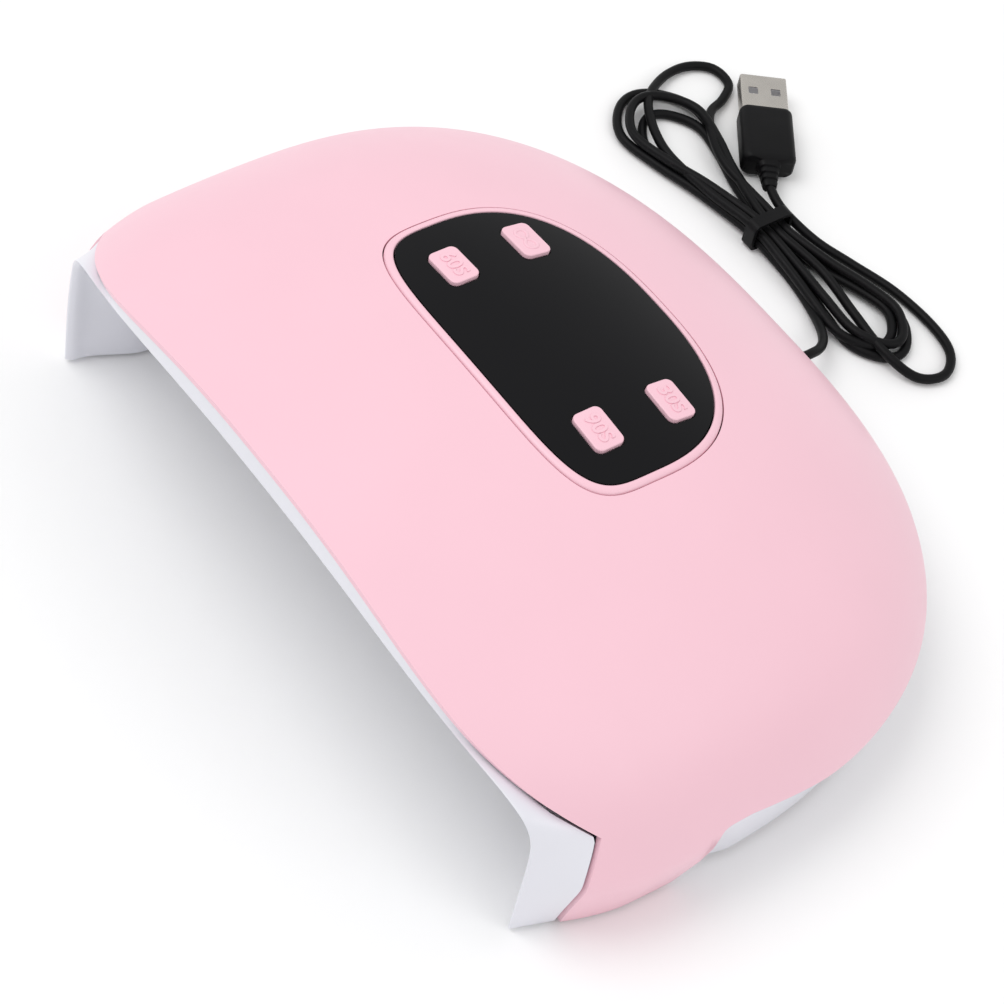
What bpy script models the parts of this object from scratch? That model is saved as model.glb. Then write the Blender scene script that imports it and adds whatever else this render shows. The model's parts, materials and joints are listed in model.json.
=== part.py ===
"""UV LED nail lamp: a pink cover over a white liner with two front legs, a black control panel
with four push buttons, LED boards inside and a USB cord tied in a hank behind it.

Sizes are in millimetres and become metres when a mesh is made. +X is the user's right, the hand
opening faces -Y, and Z is up from the table. The lamp is a mirror image of itself about X = 0.
"""

import math

import bmesh
import bpy
import numpy as np
from mathutils import Matrix, Vector

MM = 0.001
GAP = 0.3
# The plan below is drawn from the cover's dome. This moves it so that the lamp's box is centred on Y = 0.
CENTRING_Y = 0.95

# Cover: a domed shell, widest at WIDEST_Y, whose rear half closes round DOME_Y.
HALF_WIDTH = 100.0
WIDEST_Y = -19.3
FRONT_TAPER, REAR_TAPER = 0.145, 0.129
NOSE_START_Y, NOSE_LENGTH, NOSE_NARROWING = -41.7, 24.7, 6.3
DOME_Y = -13.8
DOME_DEPTH = 88.4
PLAN_POWER = 2.77
CROWN = 62.0
FRONT_SAG, REAR_SAG = 0.054, 0.366
SECTION_POWER, SECTION_ROOT = 2.48, 2.2
SPRING_HEIGHT = 11.2
TUCK_TOP, WALL_TUCK = 20.0, 6.2
WALL_TOP = 24.6
COVER_WALL = 1.4
COVER_EDGE_Z, COVER_EDGE_RISE = 18.5, 4.6
FLOOR = 1.0
FRONT_Y, FRONT_SWEEP, FRONT_POWER = -74.6, 36.5, 5.27
CORNER_R = 0.942
FIN_BEND_Y, FIN_BEND_Z, FIN_FOOT_Y = -57.0, 15.0, -55.4
FIN_REAR_BOTTOM_Y, FIN_REAR_TOP_Y = -29.6, -20.0

# Hand cavity and the front arch of the liner.
ARCH_HALF, ARCH_TOP, ARCH_SAG, ARCH_SAG_POWER = 85.5, 53.0, 14.0, 2.4
ARCH_POWER, ARCH_ROOT = 14.0, 10.0
ARCH_FRONT_Y, ARCH_SWEEP = -74.2, 8.0
CAVITY_FRONT_Y, CAVITY_MID_Y, CAVITY_REAR_Y = -47.0, -5.0, 58.0
CAVITY_HALF, CAVITY_TOP = 79.0, 47.5
CAVITY_SAG, CAVITY_POWER, CAVITY_ROOT, CAVITY_DROP = 8.5, 6.0, 3.0, 14.0
LINER_WALL = 2.0
BASE_BOTTOM = 1.6
BASE_WALL_TOP = 25.6

# Panel, buttons and electronics.
PANEL_HALF, PANEL_FRONT_Y, PANEL_REAR_Y = 38.6, -23.6, 25.8
BEZEL_WIDTH, BEZEL_DEPTH = 1.7, 3.0
LENS_THICK = 1.8
BUTTON_X, BUTTON_Y = 25.3, (-11.0, 8.2)
BUTTON_SIZE = (10.2, 7.2)
BUTTON_PROUD = 1.2
BUTTON_NAMES = {
    (-1, -11.0): "button_60s",
    (-1, 8.2): "button_hold",
    (1, -11.0): "button_90s",
    (1, 8.2): "button_30s",
}
BOARD_Z, BOARD_THICK = 52.1, 1.6
SWITCH_TOP = 55.2
STEM_GAP = 1.05
POSTS = ((-9.0, -17.0), (9.0, -17.0), (-9.0, 13.0), (9.0, 13.0))
LED_RADIUS, LED_HOLE = 3.4, 3.9

# Cord, hank and plug behind the lamp.
CORD_DIAMETER = 2.4
GLAND_Z, GLAND_START_Y, GLAND_END_Y = 9.0, 62.0, 80.0
CORD_ROUTE = (
    (0.0, 80.3, 9.0),
    (-0.1, 84.0, 8.6),
    (-0.6, 87.5, 7.0),
    (-2.0, 90.8, 4.4),
    (-4.8, 93.8, 2.4),
    (-9.0, 96.4, 1.5),
    (-14.0, 98.4, 1.4),
    (-18.8, 99.9, 1.4),
)
HANK_Z, HANK_HEIGHT = 1.2, 5.4
TIE_X, TIE_WIDTH = -40.0, 4.0
PLUG_TIP, PLUG_HEADING = (-80.8, 135.9), math.radians(144.0)
PLUG_Z = 4.4

PINK = (0.91, 0.60, 0.66, 1.0)
WHITE = (0.80, 0.80, 0.86, 1.0)
BLACK = (0.012, 0.012, 0.014, 1.0)


def clear_scene():
    for obj in list(bpy.data.objects):
        bpy.data.objects.remove(obj, do_unlink=True)


def material(name, colour, roughness, metallic=0.0):
    """One Principled material of this name, made on first use."""
    if name in bpy.data.materials:
        return bpy.data.materials[name]
    made = bpy.data.materials.new(name)
    made.use_nodes = True
    shader = made.node_tree.nodes["Principled BSDF"]
    shader.inputs["Base Color"].default_value = colour
    shader.inputs["Roughness"].default_value = roughness
    shader.inputs["Metallic"].default_value = metallic
    return made


def finish(name):
    """The finish of that name: colour, roughness and metallic value."""
    looks = {
        "pink_abs": (PINK, 0.5, 0.0),
        "white_abs": (WHITE, 0.4, 0.0),
        "black_gloss": (BLACK, 0.08, 0.0),
        "black_rubber": ((0.02, 0.02, 0.02, 1.0), 0.6, 0.0),
        "green_board": ((0.03, 0.16, 0.07, 1.0), 0.5, 0.0),
        "bare_steel": ((0.62, 0.60, 0.57, 1.0), 0.3, 1.0),
        "clear_led": ((0.85, 0.82, 0.55, 1.0), 0.15, 0.0),
    }
    return material(name, *looks[name])


def add_object(name, mesh, look):
    obj = bpy.data.objects.new(name, mesh)
    bpy.context.scene.collection.objects.link(obj)
    mesh.materials.append(finish(look))
    return obj


def mesh_from(name, points, faces):
    """A closed mesh from points in millimetres, its doubles merged and its faces turned outward."""
    mesh = bpy.data.meshes.new(name)
    placed = (np.asarray(points, float) + [0, CENTRING_Y, 0]) * MM
    mesh.from_pydata(placed.tolist(), [], faces)
    work = bmesh.new()
    work.from_mesh(mesh)
    bmesh.ops.remove_doubles(work, verts=work.verts, dist=0.02 * MM)
    bmesh.ops.dissolve_degenerate(work, edges=work.edges, dist=0.01 * MM)
    bmesh.ops.recalc_face_normals(work, faces=work.faces)
    if work.calc_volume(signed=True) < 0:
        bmesh.ops.reverse_faces(work, faces=work.faces)
    work.to_mesh(mesh)
    work.free()
    mesh.shade_smooth()
    mesh.set_sharp_from_angle(angle=math.radians(35))
    return mesh


def slab_mesh(name, face, back, first_row_open=True):
    """A closed body between two grids of the same size, joined along their edges. first_row_open is
    False for a first row that folds onto itself, as a spine does."""
    rows, columns = face.shape[:2]
    index = np.arange(rows * columns).reshape(rows, columns)
    other = index + rows * columns
    faces = []
    for grid, turned_over in ((index, False), (other, True)):
        corners = [grid[:-1, :-1], grid[1:, :-1], grid[1:, 1:], grid[:-1, 1:]]
        quads = np.stack(corners, -1).reshape(-1, 4)
        faces += (quads[:, ::-1] if turned_over else quads).tolist()
    edges = [(other[-1], index[-1]), (other[:, 0], index[:, 0]), (index[:, -1], other[:, -1])]
    if first_row_open:
        edges.append((index[0], other[0]))
    for a, b in edges:
        faces += np.stack([a[:-1], a[1:], b[1:], b[:-1]], -1).tolist()
    points = np.concatenate([face.reshape(-1, 3), back.reshape(-1, 3)])
    return mesh_from(name, points, faces)


def through(name, levels, look, frame=None):
    """A solid through (outline, height) levels of equal point count, from bottom to top, placed by
    an optional 4x4 frame in millimetres."""
    count = len(levels[0][0])
    points = [Vector((*point, height)) for outline, height in levels for point in outline]
    if frame is not None:
        points = [frame @ point for point in points]
    last = (len(levels) - 1) * count
    faces = [tuple(reversed(range(count))), tuple(range(last, last + count))]
    for base in range(0, last, count):
        faces += [
            (base + i, base + (i + 1) % count, base + count + (i + 1) % count, base + count + i)
            for i in range(count)
        ]
    return add_object(name, mesh_from(name, points, faces), look)


def prism(name, outline, bottom, top, look, frame=None):
    """An upright prism over an outline."""
    return through(name, ((outline, bottom), (outline, top)), look, frame)


def hoop(name, layers, look):
    """A closed hoop: outlines of equal length, each joined to the next and the last to the first."""
    points = np.array(layers)
    index = np.arange(points.shape[0] * points.shape[1]).reshape(points.shape[:2])
    faces = []
    for a, b in zip(index, np.roll(index, -1, axis=0)):
        faces += np.stack([a, np.roll(a, -1), np.roll(b, -1), b], -1).tolist()
    return add_object(name, mesh_from(name, points.reshape(-1, 3), faces), look)


def turned(name, profile, look, frame, sides=20):
    """A solid of revolution about local Z through (radius, height) pairs from bottom to top."""
    angle = np.linspace(0, 2 * math.pi, sides, endpoint=False)
    circle = np.column_stack([np.cos(angle), np.sin(angle)])
    return through(name, [(circle * radius, height) for radius, height in profile], look, frame)


def rounded_rectangle(length, width, radius, steps=4):
    """Outline of a rectangle with quarter-circle corners, centred on the origin."""
    turn = np.linspace(0, math.pi / 2, steps + 1)
    corners = []
    for quarter, (sx, sy) in enumerate(((1, 1), (-1, 1), (-1, -1), (1, -1))):
        centre = (sx * (length / 2 - radius), sy * (width / 2 - radius))
        angle = turn + quarter * math.pi / 2
        arc = np.column_stack([np.cos(angle), np.sin(angle)]) * radius
        corners.append(arc + centre)
    return np.concatenate(corners)


def boolean(obj, cutter, operation="DIFFERENCE"):
    """Applies an exact Boolean and removes the other object."""
    modifier = obj.modifiers.new(operation.lower(), "BOOLEAN")
    modifier.operation = operation
    modifier.object = cutter
    cutter.hide_render = True
    cutter.display_type = "WIRE"
    graph = bpy.context.evaluated_depsgraph_get()
    mesh = bpy.data.meshes.new_from_object(obj.evaluated_get(graph))
    obj.modifiers.clear()
    old, obj.data = obj.data, mesh
    bpy.data.meshes.remove(old)
    bpy.data.objects.remove(cutter, do_unlink=True)


# ---- shell surfaces ----------------------------------------------------------------------------


def half_width(y):
    """Half width of the plan outline: a shallow parabola each way from the widest station, and
    a further narrowing along the leg noses."""
    away = (y - WIDEST_Y) / 100
    width = HALF_WIDTH * (1 - np.where(away < 0, FRONT_TAPER, REAR_TAPER) * away**2)
    nose = np.clip((NOSE_START_Y - y) / NOSE_LENGTH, 0, None)
    return width - NOSE_NARROWING * nose**1.6


def crown_height(y):
    away = (y - DOME_Y) / 100
    return CROWN * (1 - np.where(away < 0, FRONT_SAG, REAR_SAG) * away**2)


def dome_height(r, y, inset=0.0):
    """Height at relative radius r: a superellipse arch springing from SPRING_HEIGHT."""
    rise = np.clip(1 - np.clip(r, 0, 1) ** SECTION_POWER, 0, None) ** (1 / SECTION_ROOT)
    return SPRING_HEIGHT + (crown_height(y) - inset - SPRING_HEIGHT) * rise


def relative_radius(x, y, inset=0.0):
    back = np.clip((y - DOME_Y) / (DOME_DEPTH - inset), 0, None)
    return ((np.abs(x) / (half_width(y) - inset)) ** PLAN_POWER + back**PLAN_POWER) ** (1 / PLAN_POWER)


def surface_z(x, y, inset=0.0):
    """Height of the cover's outer surface above a point of the plan."""
    x, y = np.asarray(x, float), np.asarray(y, float)
    return dome_height(relative_radius(x, y, inset), y, inset)


def wall_inset(z, y):
    """How far the side stands in from the plan outline at height z: the dome's own curve, and a
    tuck that grows towards the floor."""
    share = np.clip((z - SPRING_HEIGHT) / (crown_height(y) - SPRING_HEIGHT), 0, 1)
    dome = half_width(y) * (1 - (1 - share**SECTION_ROOT) ** (1 / SECTION_POWER))
    return dome + WALL_TUCK * np.clip(1 - z / TUCK_TOP, 0, 1)


def front_edge_y(x):
    return FRONT_Y + FRONT_SWEEP * (np.abs(x) / HALF_WIDTH) ** FRONT_POWER


def shell_columns(front_steps=8, rear_steps=28):
    """Columns of the shell grid, left front to right front, as (side, forward, turn): forward is
    1 at the front edge and 0 at DOME_Y, and turn is the angle round the rear half."""
    forward = np.linspace(1, 0, front_steps, endpoint=False)
    turn = np.linspace(math.pi, 0, rear_steps + 1)
    left = [(-1, f, math.pi) for f in forward]
    rear = [(0, 0.0, t) for t in turn]
    right = [(1, f, 0.0) for f in forward[::-1]]
    return left + rear + right


def shell_point(column, r, edge_y, inset, z=None, wall=0.0):
    """One point of the shell at relative radius r, or on the wall at height z, wall in from the
    outline. edge_y is where the front edge of this row lies."""
    side, forward, turn = column
    if forward > 0 or side:
        y = DOME_Y + (edge_y - DOME_Y) * forward
        x = side * (r * (half_width(y) - inset - wall))
    else:
        cosine, sine = math.cos(turn), math.sin(turn)
        across = math.copysign(abs(cosine) ** (2 / PLAN_POWER), cosine)
        along = abs(sine) ** (2 / PLAN_POWER)
        y = DOME_Y + r * (DOME_DEPTH - inset - wall) * along
        x = r * (half_width(y) - inset - wall) * across
    if z is None:
        z = dome_height(r, y, inset)
    return x, y, z


def rim_y(r):
    """Y of the front edge on the dome at relative radius r, found by three substitutions."""
    y = FRONT_Y
    for _ in range(4):
        y = front_edge_y(r * half_width(y))
    return float(y)


CORNER_Y = rim_y(CORNER_R)
CORNER_Z = float(dome_height(CORNER_R, CORNER_Y))


def fin_front_y(z):
    """The fin's front edge sweeps forward below the rim's corner, then runs almost straight down."""
    above = np.clip((z - FIN_BEND_Z) / (CORNER_Z - FIN_BEND_Z), 0, 1.2)
    below = np.clip(1 - z / FIN_BEND_Z, 0, 1)
    return FIN_BEND_Y + (CORNER_Y - FIN_BEND_Y) * above**1.7 + (FIN_FOOT_Y - FIN_BEND_Y) * below**1.5


def cover_bottom(y):
    """Height of the cover's lower edge: on the floor along the fin, up its steep rear edge, highest
    just behind it and level from the middle to the back."""
    edge = COVER_EDGE_Z + COVER_EDGE_RISE * np.clip((12 - y) / 30, 0, 1)
    climb = np.clip((y - FIN_REAR_BOTTOM_Y) / (FIN_REAR_TOP_Y - FIN_REAR_BOTTOM_Y), 0, 1)
    return FLOOR + (edge - FLOOR) * (1 - (1 - climb) ** 6)


def cover_grid(inset):
    """Grid of the cover's surface, rows from the spine down to the lower edge."""
    radii = list(np.sin(np.linspace(0, 1, 9)[:-1] * math.pi / 2) * CORNER_R) + [CORNER_R, 0.966]
    columns = shell_columns()
    rows = []
    for r in radii:
        edge = rim_y(r) if r <= CORNER_R else fin_front_y(float(dome_height(r, CORNER_Y)))
        rows.append([shell_point(c, r, edge, inset) for c in columns])
    for share in (0.0, 0.35, 0.7, 1.0):
        row = []
        for c in columns:
            y = DOME_Y + (CORNER_Y - DOME_Y) * c[1] if c[0] else 0.0
            for _ in range(3):
                z = WALL_TOP + (float(cover_bottom(y)) - WALL_TOP) * share
                wall = float(wall_inset(z, y))
                x, y, _z = shell_point(c, 1.0, fin_front_y(z), inset, z, wall)
            row.append((x, y, z))
        rows.append(row)
    return np.array(rows)


def even(points, count):
    """The same polyline resampled to count points at even distances."""
    steps = np.linalg.norm(np.diff(points, axis=0), axis=1)
    length = np.concatenate([[0], np.cumsum(steps)])
    wanted = np.linspace(0, length[-1], count)
    return np.column_stack([np.interp(wanted, length, points[:, k]) for k in range(3)])


def arch_line(half, top, y_front, sweep, count, inset=0.0):
    """The nose line of the front arch: a nearly flat crown with tight corners and upright legs."""
    u = np.sin(np.linspace(-1, 1, 801) * math.pi / 2)
    x = u * (half - inset)
    crown = top - inset - ARCH_SAG * np.abs(u) ** ARCH_SAG_POWER
    z = FLOOR + (crown - FLOOR) * np.clip(1 - np.abs(u) ** ARCH_POWER, 0, None) ** (1 / ARCH_ROOT)
    y = y_front + sweep * np.abs(u) ** 4
    return even(np.column_stack([x, y, z]), count)


def cavity_line(y, grow, count):
    """Cross-section of the hand cavity at y, grown outward by grow."""
    back = max(0.0, (y - CAVITY_MID_Y) / (CAVITY_REAR_Y + grow - CAVITY_MID_Y))
    reach = max(0.0, 1 - back**PLAN_POWER) ** (1 / PLAN_POWER)
    u = np.sin(np.linspace(-1, 1, 801) * math.pi / 2) * reach
    r = np.clip((np.abs(u) ** PLAN_POWER + back**PLAN_POWER) ** (1 / PLAN_POWER), 0, 1)
    rise = np.clip(1 - r**CAVITY_POWER, 0, None) ** (1 / CAVITY_ROOT)
    crown = CAVITY_TOP + grow - CAVITY_SAG * u**2 - CAVITY_DROP * back**2
    z = FLOOR + (crown - FLOOR) * rise
    z[[0, -1]] = FLOOR
    return even(np.column_stack([u * (CAVITY_HALF + grow), np.full(801, y), z]), count)


def liner_rim_line(count, inset_arch, inset_fin, shift_arch, shift_fin):
    """The liner's edge under the cover's rim, from the left fin's foot over the arch to the right
    fin's foot."""
    half = []
    for z in np.linspace(FLOOR, WALL_TOP, 6):
        y = fin_front_y(z)
        wall = float(wall_inset(z, y))
        half.append((half_width(y) - wall - inset_fin, y + shift_fin, z))
    for r in np.concatenate([[0.965, 0.954], np.linspace(CORNER_R, 0, 40)]):
        if r > CORNER_R:
            y = fin_front_y(float(dome_height(r, CORNER_Y)))
            inset, shift = inset_fin, shift_fin
        else:
            y = rim_y(r)
            inset = inset_fin + (inset_arch - inset_fin) * min(1.0, (CORNER_R - r) / 0.03)
            onto_arch = min(1.0, max(0.0, CORNER_R - 0.04 - r) / 0.05)
            shift = shift_fin + (shift_arch - shift_fin) * onto_arch
        half.append((r * (half_width(y) - inset), y + shift, float(dome_height(r, y, inset))))
    half = np.array(half)
    whole = np.concatenate([half * [-1, 1, 1], half[::-1][1:]])
    return even(whole, count)


def liner_sheet(count=43):
    """The liner's fascia, legs and hand cavity as one closed slab. Its face runs from the rim over
    the nose of the arch into the cavity, and its back closes the wedge behind the nose."""
    rim = liner_rim_line(count, COVER_WALL + 1.7 * GAP, 0.8, 0.5, -0.8)
    rim_back = liner_rim_line(count, COVER_WALL + GAP + 1.8, 2.6, 2.3, -0.5)
    nose = arch_line(ARCH_HALF, ARCH_TOP, ARCH_FRONT_Y, ARCH_SWEEP, count)
    nose_in = arch_line(ARCH_HALF, ARCH_TOP, ARCH_FRONT_Y + 2.2, ARCH_SWEEP, count, 1.2)
    mouth = cavity_line(CAVITY_FRONT_Y, 0.0, count)
    mouth_back = cavity_line(CAVITY_FRONT_Y, LINER_WALL, count)
    face = [rim, rim + (nose - rim) * 0.5, nose, nose_in]
    heart = nose + 0.45 * (rim_back - nose) + 0.35 * (mouth_back - nose)
    heart[[0, -1], 2] = FLOOR
    back = [rim_back, rim_back + (heart - rim_back) * 0.5, heart, heart + (mouth_back - heart) * 0.2]
    for share in (0.3, 0.65):
        ease = share * share * (3 - 2 * share)
        step = nose_in + (mouth - nose_in) * ease
        step[:, 1] = nose_in[:, 1] + (mouth[:, 1] - nose_in[:, 1]) * share
        face.append(step)
        back.append(heart + (mouth_back - heart) * (0.2 + 0.8 * share))
    stations = [CAVITY_FRONT_Y, -26.0, CAVITY_MID_Y]
    for y in stations:
        face.append(cavity_line(y, 0.0, count))
        back.append(cavity_line(y, LINER_WALL, count))
    for turn in np.linspace(0, math.pi / 2, 9)[1:]:
        for rows, grow in ((face, 0.0), (back, LINER_WALL)):
            y = CAVITY_MID_Y + (CAVITY_REAR_Y + grow - CAVITY_MID_Y) * math.sin(turn)
            rows.append(cavity_line(y, grow, count))
    return slab_mesh("inner_liner", np.array(face), np.array(back))


def base_frame():
    """The liner's base wall and flange: an L section carried round the sides and the rear."""
    rows = []
    profile = (
        ("in", BASE_BOTTOM),
        ("out", BASE_BOTTOM),
        ("out", 10.0),
        ("out", COVER_EDGE_Z),
        ("out", 22.0),
        ("out", BASE_WALL_TOP),
        ("back", BASE_WALL_TOP),
        ("back", 22.0),
        ("back", 10.0),
        ("back", BASE_BOTTOM + 2.0),
        ("in", BASE_BOTTOM + 2.0),
    )
    for side, forward, turn in shell_columns(front_steps=6, rear_steps=26):
        column = (side, forward * 0.92, turn)
        y = DOME_Y + (CORNER_Y - DOME_Y) * column[1] if side else 0.0
        ring = []
        for place, z in profile:
            under_fin = np.clip((-15.0 - y) / 12.0, 0, 1)
            foot = WALL_TUCK + (LINER_WALL + 2 * GAP) * under_fin
            share = min(1.0, (z - BASE_BOTTOM) / (COVER_EDGE_Z - BASE_BOTTOM))
            station = y if side else DOME_Y + DOME_DEPTH * abs(math.sin(turn))
            head = float(wall_inset(max(z, COVER_EDGE_Z), station)) + COVER_WALL + 6 * GAP
            inset = foot + (head - foot) * share + (LINER_WALL if place == "back" else 0.0)
            if place == "in":
                if side:
                    x = side * (CAVITY_HALF + 1.0)
                    point = (x, y, z)
                else:
                    cosine, sine = math.cos(turn), math.sin(turn)
                    across = math.copysign(abs(cosine) ** (2 / PLAN_POWER), cosine)
                    x = (CAVITY_HALF + 1.0) * across
                    start = DOME_Y + (CAVITY_MID_Y - DOME_Y) * abs(sine) ** 0.5
                    along = abs(sine) ** (2 / PLAN_POWER)
                    point = (x, start + (CAVITY_REAR_Y + 1.0 - start) * along, z)
            else:
                x, y_there, _ = shell_point(column, 1.0, CORNER_Y, 0.0, z, inset)
                point = (x, y_there, z)
                y = y_there
            ring.append(point)
        rows.append(ring)
    rings = np.array(rows)
    count, around = rings.shape[:2]
    index = np.arange(count * around).reshape(count, around)
    faces = [tuple(index[0]), tuple(index[-1][::-1])]
    for k in range(around):
        a, b = index[:, k], index[:, (k + 1) % around]
        faces += np.stack([a[:-1], a[1:], b[1:], b[:-1]], -1).tolist()
    return add_object("base_frame", mesh_from("base_frame", rings.reshape(-1, 3), faces), "white_abs")


# ---- panel -------------------------------------------------------------------------------------


def panel_outline(grow=0.0, count=48):
    """Closed outline of the window: a superellipse, fuller at the back than at the front."""
    angle = np.linspace(0, 2 * math.pi, count, endpoint=False)
    middle = PANEL_FRONT_Y + (PANEL_REAR_Y - PANEL_FRONT_Y) * 0.36
    sine, cosine = np.sin(angle), np.cos(angle)
    power = np.where(sine > 0, 2.45, 4.2)
    across = np.sign(cosine) * np.abs(cosine) ** (2 / power)
    along = np.sign(sine) * np.abs(sine) ** (2 / power)
    reach = np.where(sine > 0, PANEL_REAR_Y - middle, middle - PANEL_FRONT_Y)
    outline = np.column_stack([(PANEL_HALF + grow) * across, middle + (reach + grow) * along])
    return outline


def draped(name, outline, top, bottom, look):
    """A plate that follows the cover's surface: rings from the outline in to the centre, top and
    bottom given as heights above that surface."""
    centre = np.array([0.0, outline[:, 1].mean()])
    shares = np.linspace(1.0, 0.0, 5)
    layers = []
    for height in (top, bottom):
        for share in shares:
            ring = centre + (outline - centre) * share
            z = surface_z(ring[:, 0], ring[:, 1]) + height
            layers.append(np.column_stack([ring, z]))
    index = np.arange(2 * len(shares) * len(outline)).reshape(2, len(shares), len(outline))
    faces = []
    for layer, turned_over in ((index[0], False), (index[1], True)):
        following = np.roll(layer, -1, axis=1)
        corners = [layer[:-1], following[:-1], following[1:], layer[1:]]
        quads = np.stack(corners, -1).reshape(-1, 4)
        faces += (quads[:, ::-1] if turned_over else quads).tolist()
    a, b = index[0, 0], index[1, 0]
    faces += np.stack([a, b, np.roll(b, -1), np.roll(a, -1)], -1).tolist()
    return add_object(name, mesh_from(name, np.concatenate(layers), faces), look)


def surface_frame(x, y):
    """Frame on the cover's surface at (x, y): local Z is the outward normal, local X runs right."""
    step = 0.5
    slope_x = (surface_z(x + step, y) - surface_z(x - step, y)) / (2 * step)
    slope_y = (surface_z(x, y + step) - surface_z(x, y - step)) / (2 * step)
    normal = Vector((-float(slope_x), -float(slope_y), 1)).normalized()
    right = Vector((1, 0, float(slope_x))).normalized()
    ahead = normal.cross(right)
    turn = Matrix((right, ahead, normal)).transposed().to_4x4()
    return Matrix.Translation((x, y, float(surface_z(x, y)))) @ turn


def build_panel():
    """The window, with a hole for each cap, and the ring that frames it."""
    lens = draped("panel_window", panel_outline(-GAP), 0.25, 0.25 - LENS_THICK, "black_gloss")
    outer, inner = panel_outline(BEZEL_WIDTH), panel_outline(0.0)
    profile = (
        (outer, -0.2),
        (0.3 * outer + 0.7 * inner, 0.5),
        (inner, 0.3),
        (inner, -BEZEL_DEPTH),
        (outer, -BEZEL_DEPTH),
    )
    layers = []
    for outline, height in profile:
        z = surface_z(outline[:, 0], outline[:, 1]) + height
        layers.append(np.column_stack([outline, z]))
    hoop("panel_bezel", layers, "pink_abs")
    hole = rounded_rectangle(BUTTON_SIZE[0] + 2 * GAP, BUTTON_SIZE[1] + 2 * GAP, 1.6 + GAP, 2)
    for side in (-1, 1):
        for y in BUTTON_Y:
            boolean(lens, prism("cutter", hole, -6, 6, "black_gloss", surface_frame(side * BUTTON_X, y)))


def build_buttons():
    """Four caps with a retaining flange under the window and a stem down to the switch."""
    length, width = BUTTON_SIZE
    cap = rounded_rectangle(length, width, 1.6, 3)
    crown = rounded_rectangle(length - 0.8, width - 0.8, 1.3, 3)
    flange = rounded_rectangle(length + 2.4, width + 2.4, 1.6, 3)
    stem = rounded_rectangle(3.0, 3.0, 0.8, 3)
    flange_top = 0.25 - LENS_THICK - GAP
    for side in (-1, 1):
        for y in BUTTON_Y:
            frame = surface_frame(side * BUTTON_X, y)
            stem_bottom = (SWITCH_TOP + STEM_GAP - frame.translation.z) / frame[2][2]
            levels = (
                (stem, stem_bottom),
                (stem, flange_top - 1.0),
                (flange, flange_top - 1.0),
                (flange, flange_top),
                (cap, flange_top),
                (cap, BUTTON_PROUD - 0.4),
                (crown, BUTTON_PROUD),
            )
            through(BUTTON_NAMES[side, y], levels, "pink_abs", frame)


def build_electronics():
    """The control board on its posts, a switch under each cap, the display and the screws."""
    board = rounded_rectangle(66.0, 34.0, 2.0, 2) + [0, -2.0]
    plate = prism("control_board", board, BOARD_Z, BOARD_Z + BOARD_THICK, "green_board")
    base = BOARD_Z + BOARD_THICK + GAP
    for side in (-1, 1):
        for y in BUTTON_Y:
            name = BUTTON_NAMES[side, y].replace("button", "switch")
            frame = surface_frame(side * BUTTON_X, y)
            foot = frame @ Vector((0, 0, (SWITCH_TOP - frame.translation.z) / frame[2][2]))
            outline = rounded_rectangle(6.0, 6.0, 0.6, 1) + [foot.x, foot.y]
            body = prism(name, outline, base, base + 1.0, "black_rubber")
            knob = Matrix.Translation((foot.x, foot.y, 0))
            profile = ((1.7, base + 0.6), (1.7, SWITCH_TOP))
            boolean(body, turned("stem", profile, "black_rubber", knob, 12), "UNION")
    display = rounded_rectangle(24.0, 12.0, 0.8, 2)
    prism("digit_display", display, base, base + 4.2, "black_gloss")
    for place, (x, y) in zip(("front_left", "front_right", "rear_left", "rear_right"), POSTS):
        here = Matrix.Translation((x, y, 0))
        hole = ((1.3, BOARD_Z - 1), (1.3, BOARD_Z + 3))
        boolean(plate, turned("hole", hole, "green_board", here, 12))
        profile = ((0.9, BOARD_Z - 2.6), (0.9, base), (2.0, base), (2.0, base + 0.9), (1.4, base + 1.3))
        turned(f"board_screw_{place}", profile, "bare_steel", here, 10)


# ---- LEDs --------------------------------------------------------------------------------------


def led_places():
    """Eighteen (x, y) plan places of the ceiling beads and (side, y, z) places on the walls."""
    ceiling = [(x, y) for y in (-30.0, -2.0, 26.0) for x in (-52.0, -22.0, 22.0, 52.0)]
    walls = [(side, y, 20.0) for side in (-1, 1) for y in (-28.0, -2.0, 24.0)]
    return ceiling, walls


def cavity_point(x, y):
    """Height of the cavity's ceiling above the plan point (x, y)."""
    line = cavity_line(y, 0.0, 400)
    upper = line[np.abs(line[:, 0]) < np.abs(line[:, 0]).max() * 0.98]
    order = np.argsort(upper[:, 0])
    return float(np.interp(x, upper[order, 0], upper[order, 2]))


def led_frames():
    """A frame for each bead: origin on the cavity's surface, local Z pointing into the cavity."""
    ceiling, walls = led_places()
    frames = []
    for x, y in ceiling:
        step = 1.0
        slope_x = (cavity_point(x + step, y) - cavity_point(x - step, y)) / (2 * step)
        slope_y = (cavity_point(x, y + step) - cavity_point(x, y - step)) / (2 * step)
        normal = Vector((slope_x, slope_y, -1)).normalized()
        frames.append(frame_along(normal, (x, y, cavity_point(x, y))))
    for side, y, z in walls:
        line = cavity_line(y, 0.0, 400)
        near = line[(line[:, 0] * side > 0)]
        x = float(np.interp(z, *(near[near[:, 2].argsort()][:, k] for k in (2, 0))))
        frames.append(frame_along(Vector((-side, 0, 0)), (x, y, z)))
    return frames


def frame_along(normal, place):
    turn = Vector((0, 0, 1)).rotation_difference(Vector(normal)).to_matrix().to_4x4()
    return Matrix.Translation(place) @ turn


def build_posts(liner):
    """Posts on the liner's back that carry the control board, with a pilot hole in each."""
    for x, y in POSTS:
        place = Matrix.Translation((x, y, 0))
        post = ((2.2, 48.4), (2.2, BOARD_Z - GAP))
        boolean(liner, turned("post", post, "white_abs", place, 14), "UNION")
        pilot = ((1.2, BOARD_Z - 3.2), (1.2, BOARD_Z + 1))
        boolean(liner, turned("pilot", pilot, "white_abs", place, 12))


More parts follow.
